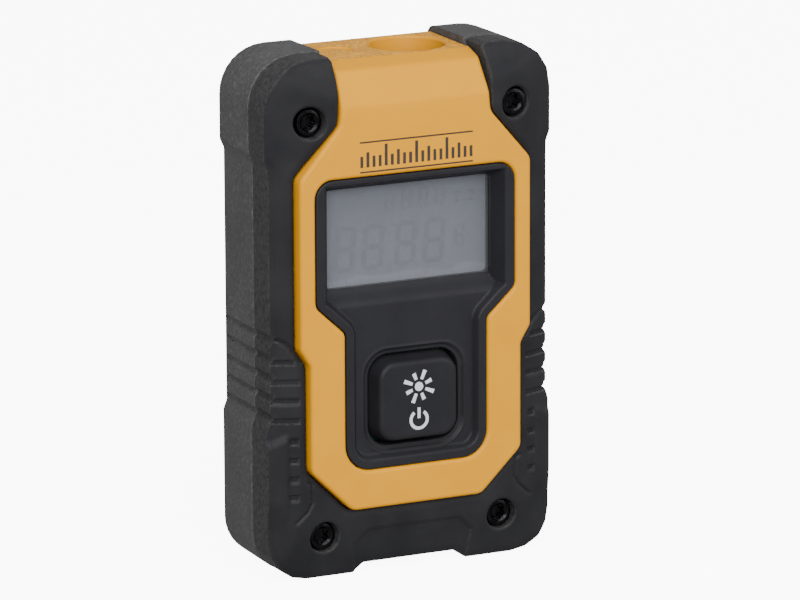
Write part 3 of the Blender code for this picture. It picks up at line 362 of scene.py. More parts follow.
def relief(name, distance, height, radius, back, pitch, extent, flare=0.0):
    """A skin with its front at height(x, z) inside the outline.

    Every edge has a round of radius, and walls run from there to back, where a narrow lip turns inwards.
    The front is a grid of the given pitch, over extent = (least x, greatest x, least z, greatest z).
    """
    xs = np.arange(extent[0], extent[1] + pitch, pitch)
    zs = np.arange(extent[2], extent[3] + pitch, pitch)
    grid_x, grid_z = np.meshgrid(xs, zs, indexing="ij")
    x, z = grid_x.ravel(), grid_z.ravel()
    edge = distance(x, z) + radius
    inside = edge < 0.5 * pitch
    nz = len(zs)
    corner = (np.arange(len(xs) - 1)[:, None] * nz + np.arange(nz - 1)[None, :]).ravel()
    cells = np.stack([corner, corner + nz, corner + nz + 1, corner + 1], axis=1)
    used = inside[cells]
    faces = cells[used.all(axis=1)].tolist()
    for cell, marks in zip(cells[used.sum(axis=1) == 3], used[used.sum(axis=1) == 3]):
        faces.append(cell[marks].tolist())
    ends = {}
    for face in faces:
        for a, b in zip(face, face[1:] + face[:1]):
            ends[(a, b)] = True
    border = [(a, b) for a, b in ends if (b, a) not in ends]
    rim = np.array(sorted({a for a, _ in border} | {b for _, b in border}))
    near = np.union1d(rim, np.flatnonzero(inside & (edge > -0.5 * pitch)))
    for _ in range(3):
        off, nx, nz_ = slope_of(distance, x[near], z[near])
        x[near] -= nx * (off + radius)
        z[near] -= nz_ * (off + radius)
    y = height(x, z)
    rings = []
    rim_x, rim_z, rim_y = x[rim], z[rim], y[rim]
    _, nx, nz_ = slope_of(distance, rim_x, rim_z)
    for step in range(1, ROUND_STEPS + 1):
        angle = math.pi / 2 * step / ROUND_STEPS
        out, down = radius * math.sin(angle), radius * (1 - math.cos(angle))
        rings.append((rim_x + nx * out, rim_y + down, rim_z + nz_ * out))
    out = radius + flare
    wall = np.maximum(back, rim_y + radius + 0.3)
    rings.append((rim_x + nx * out, wall, rim_z + nz_ * out))
    out -= BACK_LIP
    rings.append((rim_x + nx * out, wall, rim_z + nz_ * out))
    points = [np.stack([x, y, z], axis=1)]
    for ring in rings:
        points.append(np.stack(ring, axis=1))
    place = {int(vertex): index for index, vertex in enumerate(rim)}
    count, total = len(rim), len(x)
    for a, b in border:
        ia, ib = place[a], place[b]
        first, second = a, b
        for ring in range(len(rings)):
            after_a, after_b = total + ring * count + ia, total + ring * count + ib
            faces.append([second, first, after_a, after_b])
            first, second = after_a, after_b
    points = np.concatenate(points)
    kept, index = np.unique(np.concatenate([np.array(face) for face in faces]), return_inverse=True)
    sizes = [len(face) for face in faces]
    flat = index.tolist()
    start, moved = 0, []
    for size in sizes:
        moved.append(flat[start:start + size])
        start += size
    mesh = bpy.data.meshes.new(name)
    mesh.from_pydata((points[kept] * MM).tolist(), [], moved)
    return finish_mesh(mesh)


def cut_level(mesh, z):
    """The mesh without what lies above z."""
    bm = bmesh.new()
    bm.from_mesh(mesh)
    whole = list(bm.verts) + list(bm.edges) + list(bm.faces)
    bmesh.ops.bisect_plane(bm, geom=whole, plane_co=(0, 0, z * MM), plane_no=(0, 0, 1), clear_outer=True)
    bm.to_mesh(mesh)
    bm.free()
    return mesh


def loft_mesh(name, rings):
    verts = [point for ring in rings for point in ring]
    count = len(rings[0])
    faces = []
    for level in range(len(rings) - 1):
        for index in range(count):
            following = (index + 1) % count
            near, far = level * count, (level + 1) * count
            faces.append((near + index, near + following, far + following, far + index))
    faces.append(tuple(reversed(range(count))))
    faces.append(tuple(range((len(rings) - 1) * count, len(rings) * count)))
    mesh = bpy.data.meshes.new(name)
    mesh.from_pydata([Vector(v) * MM for v in verts], [], faces)
    return outward(mesh)


def outward(mesh):
    bm = bmesh.new()
    bm.from_mesh(mesh)
    bmesh.ops.recalc_face_normals(bm, faces=bm.faces)
    bm.to_mesh(mesh)
    bm.free()
    return mesh


def slab_mesh(name, corners, levels):
    rings = []
    for y, inset in levels:
        rings.append([(x, y, z) for x, z in rounded(corners, inset)])
    return loft_mesh(name, rings)


def round_levels(y, radius, steps=6, towards=1):
    """Levels (y, inset) of a quarter round at a face at y.

    With towards +1 they lead back from a front face, and with -1 they lead up to a back face.
    """
    angles = [math.pi / 2 * step / steps for step in range(steps + 1)]
    levels = [(y + towards * radius * (1 - math.cos(a)), radius * (1 - math.sin(a))) for a in angles]
    return levels if towards > 0 else list(reversed(levels))


def box_mesh(name, low, high):
    (x0, y0, z0), (x1, y1, z1) = low, high
    rings = [[(x0, y, z0), (x1, y, z0), (x1, y, z1), (x0, y, z1)] for y in (y0, y1)]
    return loft_mesh(name, rings)


def rod_mesh(name, centre, radius, length, axis="Z", sides=64, radius_end=None):
    radius_end = radius if radius_end is None else radius_end
    rings = []
    for along, size in ((0.0, radius), (length, radius_end)):
        ring = []
        for step in range(sides):
            angle = 2 * math.pi * step / sides
            u, v = size * math.cos(angle), size * math.sin(angle)
            offset = (u, v, along) if axis == "Z" else (u, along, v)
            ring.append(tuple(c + o for c, o in zip(centre, offset)))
        rings.append(ring)
    return loft_mesh(name, rings)


def carve(mesh, steps):
    """The mesh after each (operation, other mesh) in turn."""
    obj = bpy.data.objects.new("carving", mesh)
    bpy.context.scene.collection.objects.link(obj)
    others = []
    for operation, other in steps:
        tool = bpy.data.objects.new("tool", other)
        bpy.context.scene.collection.objects.link(tool)
        change = obj.modifiers.new("carve", "BOOLEAN")
        change.operation = operation
        change.solver = "EXACT"
        change.object = tool
        others.append(tool)
    bpy.context.view_layer.update()
    graph = bpy.context.evaluated_depsgraph_get()
    made = bpy.data.meshes.new_from_object(obj.evaluated_get(graph))
    for old in [obj] + others:
        data = old.data
        bpy.data.objects.remove(old, do_unlink=True)
        bpy.data.meshes.remove(data)
    made.materials.clear()
    return finish_mesh(made, 30)


def flat_shapes(name, shapes, y, thickness):
    """Thin printed shapes on a face at y: each is a closed list of (x, z) points."""
    verts, faces = [], []
    for shape in shapes:
        start, count = len(verts), len(shape)
        verts += [(x * MM, y * MM, z * MM) for x, z in shape]
        verts += [(x * MM, (y + thickness) * MM, z * MM) for x, z in shape]
        faces.append(tuple(start + i for i in range(count)))
        for i in range(count):
            j = (i + 1) % count
            faces.append((start + j, start + i, start + count + i, start + count + j))
    mesh = bpy.data.meshes.new(name)
    mesh.from_pydata(verts, [], faces)
    return outward(mesh)


def bar(x0, z0, x1, z1):
    return [(x0, z0), (x1, z0), (x1, z1), (x0, z1)]


def disc(x, z, radius, sides=40):
    turn = [2 * math.pi * step / sides for step in range(sides)]
    return [(x + radius * math.cos(a), z + radius * math.sin(a)) for a in turn]


def arc_band(x, z, inner, outer, start, end, steps=32):
    turn = [math.radians(start + (end - start) * step / steps) for step in range(steps + 1)]
    points = [(x + outer * math.cos(a), z + outer * math.sin(a)) for a in turn]
    return points + [(x + inner * math.cos(a), z + inner * math.sin(a)) for a in reversed(turn)]


# Materials


def srgb(*channels):
    shares = [channel / 255 for channel in channels]
    linear = [s / 12.92 if s <= 0.04045 else ((s + 0.055) / 1.055) ** 2.4 for s in shares]
    return (*linear, 1.0)


class Finish:
    """A node material made up step by step round one Principled shader."""

    def __init__(self, name, roughness, metallic=0.0, specular=0.5):
        self.material = bpy.data.materials.new(name)
        self.material.use_nodes = True
        self.tree = self.material.node_tree
        self.shader = self.tree.nodes["Principled BSDF"]
        self.set("Roughness", roughness)
        self.set("Metallic", metallic)
        self.set("Specular IOR Level", specular)
        self.place = self.add("ShaderNodeTexCoord").outputs["Object"]

    def add(self, kind, **settings):
        node = self.tree.nodes.new(kind)
        for key, value in settings.items():
            setattr(node, key, value)
        return node

    def set(self, socket, value):
        self.shader.inputs[socket].default_value = value

    def link(self, output, node, socket):
        self.tree.links.new(output, node.inputs[socket])

    def noise(self, size, detail=3.0, rough=0.5, stretch=None):
        """Noise whose lumps are about size millimetres across."""
        source = self.place
        if stretch:
            mapping = self.add("ShaderNodeMapping")
            mapping.inputs["Scale"].default_value = stretch
            self.link(source, mapping, "Vector")
            source = mapping.outputs["Vector"]
        node = self.add("ShaderNodeTexNoise")
        node.inputs["Scale"].default_value = 1000.0 / size
        node.inputs["Detail"].default_value = detail
        node.inputs["Roughness"].default_value = rough
        self.link(source, node, "Vector")
        return node.outputs["Fac"]

    def scaled(self, value, low, high, from_low=0.3, from_high=0.7):
        node = self.add("ShaderNodeMapRange")
        node.inputs["From Min"].default_value = from_low
        node.inputs["From Max"].default_value = from_high
        node.inputs["To Min"].default_value = low
        node.inputs["To Max"].default_value = high
        self.link(value, node, "Value")
        return node.outputs["Result"]

    def times(self, a, b, operation="MULTIPLY"):
        node = self.add("ShaderNodeMath", operation=operation)
        for index, value in enumerate((a, b)):
            if isinstance(value, (int, float)):
                node.inputs[index].default_value = value
            else:
                self.tree.links.new(value, node.inputs[index])
        return node.outputs[0]

    def tones(self, value, *stops):
        """Base colour from value through (position, colour) stops."""
        node = self.add("ShaderNodeValToRGB")
        ramp_elements = node.color_ramp.elements
        ramp_elements[0].position, ramp_elements[0].color = stops[0]
        ramp_elements[1].position, ramp_elements[1].color = stops[-1]
        for position, colour in stops[1:-1]:
            ramp_elements.new(position).color = colour
        self.link(value, node, "Fac")
        self.link(node.outputs["Color"], self.shader, "Base Color")
        return node

    def rough(self, value, low, high):
        self.link(self.scaled(value, low, high), self.shader, "Roughness")

    def side_share(self):
        """1 on surfaces that face sideways, up or down, and 0 on those that face front."""
        node = self.add("ShaderNodeSeparateXYZ")
        geometry = self.add("ShaderNodeTexCoord").outputs["Normal"]
        self.link(geometry, node, "Vector")
        front = self.times(node.outputs["Y"], 1.0, "ABSOLUTE")
        return self.scaled(front, 1.0, 0.0, 0.55, 0.85)

    def bumps(self, *layers, bevel=0.0):
        """Bump layers (height, strength, depth in millimetres) over an optional rounding of edges."""
        normal = None
        if bevel:
            node = self.add("ShaderNodeBevel", samples=6)
            node.inputs["Radius"].default_value = bevel * MM
            normal = node.outputs["Normal"]
        for height, strength, depth in layers:
            node = self.add("ShaderNodeBump")
            node.inputs["Distance"].default_value = depth * MM
            if isinstance(strength, (int, float)):
                node.inputs["Strength"].default_value = strength
            else:
                self.link(strength, node, "Strength")
            self.link(height, node, "Height")
            if normal:
                self.link(normal, node, "Normal")
            normal = node.outputs["Normal"]
        if normal:
            self.link(normal, self.shader, "Normal")
        return self


def yellow_abs(name):
    made = Finish(name, 0.5, specular=0.16)
    broad = made.noise(9.0, 2.0)
    fine = made.noise(0.22, 2.0, 0.6)
    value = made.times(made.scaled(broad, 0.0, 0.6), made.scaled(fine, 0.0, 0.4), "ADD")
    made.tones(value, (0.0, srgb(210, 141, 6)), (1.0, srgb(216, 149, 9)))
    made.rough(fine, 0.42, 0.56)
    return made.bumps((fine, 0.35, 0.014), (made.noise(0.7), 0.15, 0.02)).material


def yellow_textured(name):
    """The same plastic where the mould was spark eroded: on faces that look up, its grain is painted in
    darker and paler tones, and the pale specks are painted glints standing for the grains' sparkle.
    """
    made = Finish(name, 0.45, specular=0.3)
    level = made.add("ShaderNodeSeparateXYZ")
    made.link(made.add("ShaderNodeTexCoord").outputs["Normal"], level, "Vector")
    top = made.scaled(level.outputs["Z"], 0.0, 1.0, 0.9, 0.99)
    fine = made.noise(0.5, 4.0, 0.8)
    grain = made.times(made.times(fine, 0.5, "SUBTRACT"), top)
    value = made.times(grain, 0.5, "ADD")
    # Painted glints: the pale end of these tones stands for the sparkle of the grain, while the darker end is
    # the grain's own tone.
    made.tones(value, (0.38, srgb(190, 122, 8)), (0.5, srgb(210, 141, 8)), (0.62, srgb(240, 186, 72)))
    made.rough(fine, 0.34, 0.6)
    return made.bumps((value, 0.9, 0.12), bevel=0.25).material


def overmould(name):
    made = Finish(name, 0.55, specular=0.14)
    side = made.side_share()
    fine = made.noise(0.6, 4.0, 0.75)
    patch = made.noise(7.0, 3.0)
    # Painted light, with real grain: faces turned away from the front get the grain's lighter tones, which
    # stand partly for their real speckled texture and partly for these faces being lit more than the front.
    tint = made.times(made.scaled(fine, 0.0, 0.85, 0.3, 0.7), side)
    value = made.times(tint, made.scaled(patch, 0.0, 0.15), "ADD")
    made.tones(value, (0.0, srgb(27, 27, 30)), (1.0, srgb(66, 66, 66)))
    made.rough(patch, 0.48, 0.6)
    strength = made.scaled(side, 0.12, 0.9, 0.0, 1.0)
    return made.bumps((fine, strength, 0.1), (made.noise(1.4), 0.12, 0.05)).material


def textured_black(name):
    made = Finish(name, 0.6, specular=0.25)
    fine = made.noise(0.6, 4.0, 0.75)
    patch = made.noise(8.0, 2.0)
    value = made.times(made.scaled(fine, 0.0, 0.85, 0.3, 0.7), made.scaled(patch, 0.0, 0.15), "ADD")
    made.tones(value, (0.0, srgb(48, 48, 48)), (0.6, srgb(72, 72, 72)), (1.0, srgb(98, 98, 97)))
    made.rough(fine, 0.5, 0.7)
    return made.bumps((fine, 0.9, 0.14), bevel=0.3).material


def satin_black(name, low, high, roughness, bevel=0.0):
    made = Finish(name, roughness, specular=0.14)
    fine = made.noise(0.25, 3.0, 0.6)
    made.tones(made.noise(5.0), (0.3, low), (0.7, high))
    made.rough(fine, roughness - 0.06, roughness + 0.06)
    return made.bumps((fine, 0.3, 0.02), bevel=bevel).material


def metal(name, low, high, roughness):
    made = Finish(name, roughness, metallic=1.0)
    streak = made.noise(0.4, 4.0, 0.6, (1.0, 1.0, 0.2))
    made.tones(streak, (0.3, low), (0.7, high))
    made.rough(streak, roughness - 0.08, roughness + 0.1)
    return made.bumps((streak, 0.2, 0.01), bevel=0.05).material


def plain(name, low, high, roughness, size=2.0, grain=0.2, metallic=0.0):
    made = Finish(name, roughness, metallic=metallic)
    made.tones(made.noise(size), (0.3, low), (0.7, high))
    fine = made.noise(0.15)
    made.rough(fine, roughness - 0.05, roughness + 0.05)
    return made.bumps((fine, grain, 0.01)).material


def clear(name, alpha, tint):
    made = Finish(name, 0.04, specular=0.3)
    made.tones(made.noise(4.0), (0.3, tint), (0.7, tuple(0.96 * part for part in tint)))
    made.set("Alpha", alpha)
    made.rough(made.noise(3.0), 0.04, 0.07)
    return made.material


def display_grey(name):
    """The unlit display, with a painted reflection of the frame that makes it a little lighter along its
    foot, and a little darker towards its top.
    """
    made = Finish(name, 0.3, specular=0.15)
    place = made.add("ShaderNodeSeparateXYZ")
    made.link(made.place, place, "Vector")
    height = made.scaled(place.outputs["Z"], 0.0, 1.0, 0.0436, 0.0596)
    haze = made.scaled(made.noise(6.0), -0.06, 0.06)
    value = made.times(height, haze, "ADD")
    light, main, dark = srgb(84, 87, 95), srgb(72, 75, 84), srgb(69, 72, 81)
    # Painted reflection: the lighter tone along the foot stands for the frame reflected in the window.
    made.tones(value, (0.04, light), (0.09, light), (0.13, main), (1.0, dark))
    made.rough(made.noise(1.5), 0.26, 0.34)
    return made.material


def dress(name, material):
    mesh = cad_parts[name].data
    mesh.materials.clear()
    mesh.materials.append(material)


# Visible pieces


def face_window():
    return outline_distance(rounded(face_corners(HEIGHT + 6.0), -GAP, 6))


def bumper_distance():
    body = outline_distance(rounded(grooved_body(), 0.0, 4))
    window = face_window()

    def distance(x, z):
        far = np.maximum(body(x, z), -window(x, z))
        for cx, cz in SCREWS:
            far = np.maximum(far, WELL_RADIUS - np.hypot(x - cx, z - cz))
        return far

    return distance


def bumper_height(x, z):
    out = np.abs(x)
    outer = outline_distance(rounded(mirrored(body_corners()), 0.0, 4))
    edge = np.minimum(-outer(x, z), face_window()(x, z))
    side = BUMPER_Y + SIDE_SLOPE * past_zero(out - STRIP_EDGE, 0.5)
    foot = BUMPER_Y + FOOT_SLOPE * past_zero(FOOT_EDGE - z, 1.0)
    low = soft_max(side, foot, 0.4)
    pad_face = PAD_Y + PAD_SLOPE * past_zero(out - PAD_FLAT_HALF, 0.4)
    lean = PAD_Y + PAD_LEAN * past_zero(z - PAD_LEAN_Z, 1.5)
    pad = soft_max(pad_face, lean, 0.7)
    share = ramp(z, *PAD_RISE)
    y = low * (1 - share) + pad * share
    soft_edge = np.clip(1 - edge / SOFT_EDGE_RUN, 0, 1) ** 2
    y = y + SOFT_EDGE_DROP * soft_edge * (1 - ramp(z, *SOFT_EDGE_END))
    # The lower corner pads swell a little in front of the grip strips.
    swell_top = 1 - ramp(z + 0.5 * np.maximum(out - 21, 0), 21.8, 23.4)
    swell = ramp(out, 20.2, 21.1) * swell_top * ramp(z, 8.0, 13.0)
    y = y - SWELL * swell
    # Grip slots that run in from the side grooves, the topmost one bending down to the hard face.
    for index, slot_z in enumerate(GROOVES[:-1]):
        inner = 18.7 if index < 3 else 19.5
        across = 1 - ramp(np.abs(z - slot_z + SLOT_DROP), 0.34, 0.5)
        along = ramp(out, inner, inner + 0.15)
        y = y + SLOT_DEPTH * across * along
    top = GROOVES[-1]
    bend = [(23.4, top), (21.9, top - 0.05), (20.6, top - 0.8), (19.4, top - 2.2), (18.6, top - 3.4)]
    y = y + TOP_SLOT_DEPTH * (1 - ramp(path_distance(bend, out, z), 0.16, 0.36))
    # Short marks in a column under the slots.
    for mark_z in MARK_LEVELS:
        across = (1 - ramp(np.abs(z - mark_z), 0.4, 0.55)) * (1 - ramp(np.abs(out - MARK_X), 0.5, 0.65))
        y = y + MARK_DEPTH * across
    seam = [(17.6, 15.6), (17.0, 15.0), (16.9, 12.2), (17.6, 10.9), (19.4, 9.3)]
    y = y + SEAM_DEPTH * (1 - ramp(path_distance(seam, out, z), 0.1, 0.3))
    # The facet between the feet.
    facet = np.minimum(7.0 - z, (FOOT_OUTER - out) + 0.12 * z - np.maximum(z - 4.8, 0) * 1.15)
    y = y + FACET_DEPTH * ramp(facet, -0.18, 0.22)
    return y


def yellow_distance():
    face = outline_distance(rounded(face_corners(FACE_TOP + 2.0), 0.0, 8))
    hole = outline_distance(rounded(bezel_corners(), -0.12, 8))
    return lambda x, z: np.maximum(face(x, z), -hole(x, z))


def yellow_height(x, z):
    lean = LEAN * past_zero(z - LEAN_Z, 0.5)
    brow = (BROW_RUN / (FACE_TOP - BROW_Z) - LEAN) * past_zero(z - BROW_Z, 0.12)
    return FACE_Y + lean + brow


def around_button(margin, radius):
    """The distance from a rounded rectangle that stands out from the button by margin."""
    corners = rectangle(BUTTON_HALF + margin, BUTTON_LOW - margin, BUTTON_HIGH + margin, radius)
    return outline_distance(rounded(corners))


def bezel_distance():
    rim = outline_distance(rounded(bezel_corners()))
    display = outline_distance(rounded(rectangle(DISPLAY_HALF, DISPLAY_BOTTOM, DISPLAY_TOP, 0.7), 0.0, 6))
    key = around_button(KEY_CLEARANCE, KEY_HOLE_CORNER)

    def distance(x, z):
        return np.maximum(np.maximum(rim(x, z), -display(x, z)), -key(x, z))

    return distance


def bezel_height():
    rim = outline_distance(rounded(bezel_corners()))
    ring = around_button(KEY_FRAME, KEY_FRAME_CORNER)

    def height(x, z):
        out = np.abs(x)
        inner = -rim(x, z)
        # The keypad's floor dives towards the foot of the display.
        dive = ramp(z, SHOULDER_Z - 0.9, DISPLAY_BOTTOM)
        floor = KEY_Y * (1 - dive) + WINDOW_Y * dive
        wall_side = (WELL_HALF - out) / WELL_SIDE_RUN
        wall_top = (WELL_TOP - z) / WELL_TOP_RUN
        well = np.clip(np.minimum(wall_side, wall_top), 0, 1)
        funnel = LIP_Y + (WINDOW_Y - LIP_Y) * well
        in_display = ramp(z, SHOULDER_Z - 0.2, SHOULDER_Z + 0.8)
        lower = np.minimum(floor, LIP_Y + (floor - LIP_Y) * ramp(inner, 1.25, 2.05))
        upper = np.minimum(floor, funnel)
        y = lower * (1 - in_display) + upper * in_display
        # A moat round the button, with a low ridge outside it.
        y = y + MOAT_DEPTH * (1 - ramp(ring(x, z), -0.32, 0.0))
        y = y - RIDGE_HEIGHT * np.exp(-((ring(x, z) - 0.16) / 0.16) ** 2)
        return y

    return height


def button_height(x, z):
    return np.full(x.shape, KEY_TOP_Y)


def screw_head(index, x, z):
    """A round head with a dished face and a six-lobed socket, turned differently for each index."""
    front = HEAD_Y - (UPPER_HEAD_RISE if z > HEIGHT / 2 else 0.0)
    rings = []
    for back, radius in ((1.6, 2.05), (0.25, 2.05), (0.06, 1.95), (0.0, 1.75)):
        rings.append(rounded_circle(x, z, radius, front + back))
    head = loft_mesh(f"head_{index}", rings)
    star = []
    for step in range(72):
        angle = 2 * math.pi * step / 72
        reach = STAR_RADIUS + STAR_LOBE * math.cos(6 * angle + index)
        star.append((x + reach * math.cos(angle), z + reach * math.sin(angle)))
    ends = (front - STAR_DEPTH, front + 1.2)
    socket = loft_mesh(f"socket_{index}", [[(u, y, v) for u, v in star] for y in ends])
    start = (x, front - CUT_CLEARANCE, z)
    depth = DISH_DEPTH + CUT_CLEARANCE
    dish = rod_mesh(f"dish_{index}", start, DISH_RADIUS, depth, "Y", 48, DISH_FLOOR_RADIUS)
    return carve(head, [("DIFFERENCE", dish), ("DIFFERENCE", socket)])


def rounded_circle(x, z, radius, y, sides=48):
    turn = [2 * math.pi * step / sides for step in range(sides)]
    return [(x + radius * math.cos(a), y, z + radius * math.sin(a)) for a in turn]


def rear_mesh():
    corners = mirrored(body_corners())
    levels = [(REAR_FRONT_Y, SEAM_INSET), (REAR_FRONT_Y + SEAM_INSET, 0.0)]
    levels += [(y, inset + BACK_INSET) for y, inset in round_levels(BACK_Y, BACK_ROUND, 8, -1)]
    shell = slab_mesh("rear", corners, levels)
    cavity_corners = rectangle(CAVITY_HALF, CAVITY_LOW, CAVITY_TOP, CAVITY_CORNER)
    cavity = slab_mesh("cavity", cavity_corners, [(REAR_FRONT_Y - 3.0, 0.0), (CAVITY_BACK, 0.4)])
    bay = TONGUE_HALF + 0.2
    steps = [
        ("DIFFERENCE", cavity),
        ("DIFFERENCE", box_mesh("lid_bay", (-bay, -6.0, 76.0), (bay, LID_BACK_Y + 0.2, 90.0))),
        ("DIFFERENCE", box_mesh("notch", (-bay, -6.0, FACE_TOP - 0.5), (bay, 14.0, 90.0))),
        ("DIFFERENCE", box_mesh("optics", (-12.2, -6.0, 70.0), (12.2, CAVITY_BACK, 76.7))),
        ("DIFFERENCE", box_mesh("mouth", (-4.35, -1.9, -3.0), (4.35, 2.1, 3.4))),
    ]
    floor = MID_HALF - GROOVE_DEPTH
    for z in GROOVES:
        for side in (-1, 1):
            profile = [(FAR_OUT, z - GROOVE_MOUTH), (MID_HALF, z - GROOVE_MOUTH), (floor, z - GROOVE_FLOOR)]
            profile += [(floor, z + GROOVE_FLOOR), (MID_HALF, z + GROOVE_MOUTH), (FAR_OUT, z + GROOVE_MOUTH)]
            rings = [[(side * u, y, v) for u, v in profile] for y in (-6.0, 9.0)]
            steps.append(("DIFFERENCE", loft_mesh("groove", rings)))
    return carve(shell, steps)


def lid_mesh():
    """The top face, from the brow to the rear housing, with its two ports."""
    half = TONGUE_HALF - 0.02
    brow_y = FACE_Y + LEAN * (BROW_Z - LEAN_Z)
    profile = [(brow_y + BROW_RUN, FACE_TOP), (LID_BACK_Y, FACE_TOP), (LID_BACK_Y, PORT_FLOOR)]
    profile += [(brow_y + 0.2, PORT_FLOOR), (brow_y + 0.2, BROW_Z - 0.1)]
    lid = loft_mesh("lid", [[(x, y, z) for y, z in profile] for x in (-half, half)])
    steps = []
    for x, radius in ((RECEIVER_X, RECEIVER_RADIUS), (EMITTER_X, EMITTER_RADIUS)):
        port = rod_mesh("port", (x, PORT_Y, PORT_FLOOR - 3.0), radius, 9.0)
        rim_place = (x, PORT_Y, FACE_TOP - 0.25)
        rim = rod_mesh("rim", rim_place, radius - 0.001, PORT_RIM, "Z", 64, radius + PORT_RIM)
        steps += [("DIFFERENCE", port), ("DIFFERENCE", rim)]
    return carve(lid, steps)


def seven_segments(x, z, width, height, line, lean=0.08):
    """The seven bars of one digit, with its lower left corner at (x, z)."""
    gap = line * 0.35
    mid = height / 2
    bars = []
    for level in (0.0, mid, height):
        low = level - line / 2 if level else 0.0
        if level == height:
            low = height - line
        left, right, middle, top = line + gap, width - line - gap, low + line / 2, low + line
        point = line * 0.6
        bars.append([
            (left, low),
            (right, low),
            (width - point, middle),
            (right, top),
            (left, top),
            (point, middle),
        ])
    for left in (0.0, width - line):
        for low, high in ((line * 0.7, mid - gap), (mid + gap, height - line * 0.7)):
            bars.append([(left, low), (left + line, low), (left + line, high), (left, high)])
    return [[(x + u + lean * v, z + v) for u, v in shape] for shape in bars]


def display_marks():
    """Unlit digits, their unit, a row of small digits and a battery sign."""
    shapes = []
    for start in (-11.9, -7.2, -1.8, 2.9):
        shapes += seven_segments(start, 46.2, *DIGIT)
    shapes.append(disc(-2.6, 46.5, 0.35))
    shapes += seven_segments(8.2, 48.4, *UNIT_DIGIT)
    for start in (-3.4, -0.6, 2.2, 5.0):
        shapes += seven_segments(start, 55.0, *SMALL_DIGIT)
    shapes += [bar(8.6, 55.2, 11.4, 55.45), bar(8.6, 56.6, 11.4, 56.85), bar(8.6, 55.2, 8.85, 56.85)]
    shapes += [bar(11.15, 55.2, 11.4, 56.85), bar(11.5, 55.7, 11.8, 56.35)]
    return shapes


def scale_marks():
    """A printed ruler: ticks between two thin lines."""
    shapes = [bar(-9.3, 66.68, 9.3, 66.93), bar(-9.3, 62.17, 9.3, 62.42)]
    for index in range(19):
        x = -9.0 + index
        tall = 3.3 if index % 5 == 4 else 2.3 if index % 5 == 1 else 1.7
        shapes.append(bar(x - 0.24, 63.0, x + 0.24, 63.0 + tall))
    return shapes


def button_marks():
    """A laser spot, and the usual sign for power."""
    x, z = 0.0, 28.7
    shapes = [disc(x, z, 0.7)]
    for index in range(8):
        angle = math.pi / 4 * index + math.pi / 8
        ux, uz = math.cos(angle), math.sin(angle)
        inner, outer = 1.15, 2.65 if index % 2 else 2.25
        near, far = 0.24, 0.32
        shapes.append([
            (x + ux * inner - uz * near, z + uz * inner + ux * near),
            (x + ux * outer - uz * far, z + uz * outer + ux * far),
            (x + ux * outer + uz * far, z + uz * outer - ux * far),
            (x + ux * inner + uz * near, z + uz * inner - ux * near),
        ])
    shapes.append(arc_band(0.0, 23.6, 1.1, 1.6, 125, 415))
    shapes.append(bar(-0.24, 23.8, 0.24, 25.45))
    return shapes


def add_piece(name, mesh, material, body, replaced=()):
    made = object_from(name, mesh, body, replaced)
    made.data.materials.append(material)


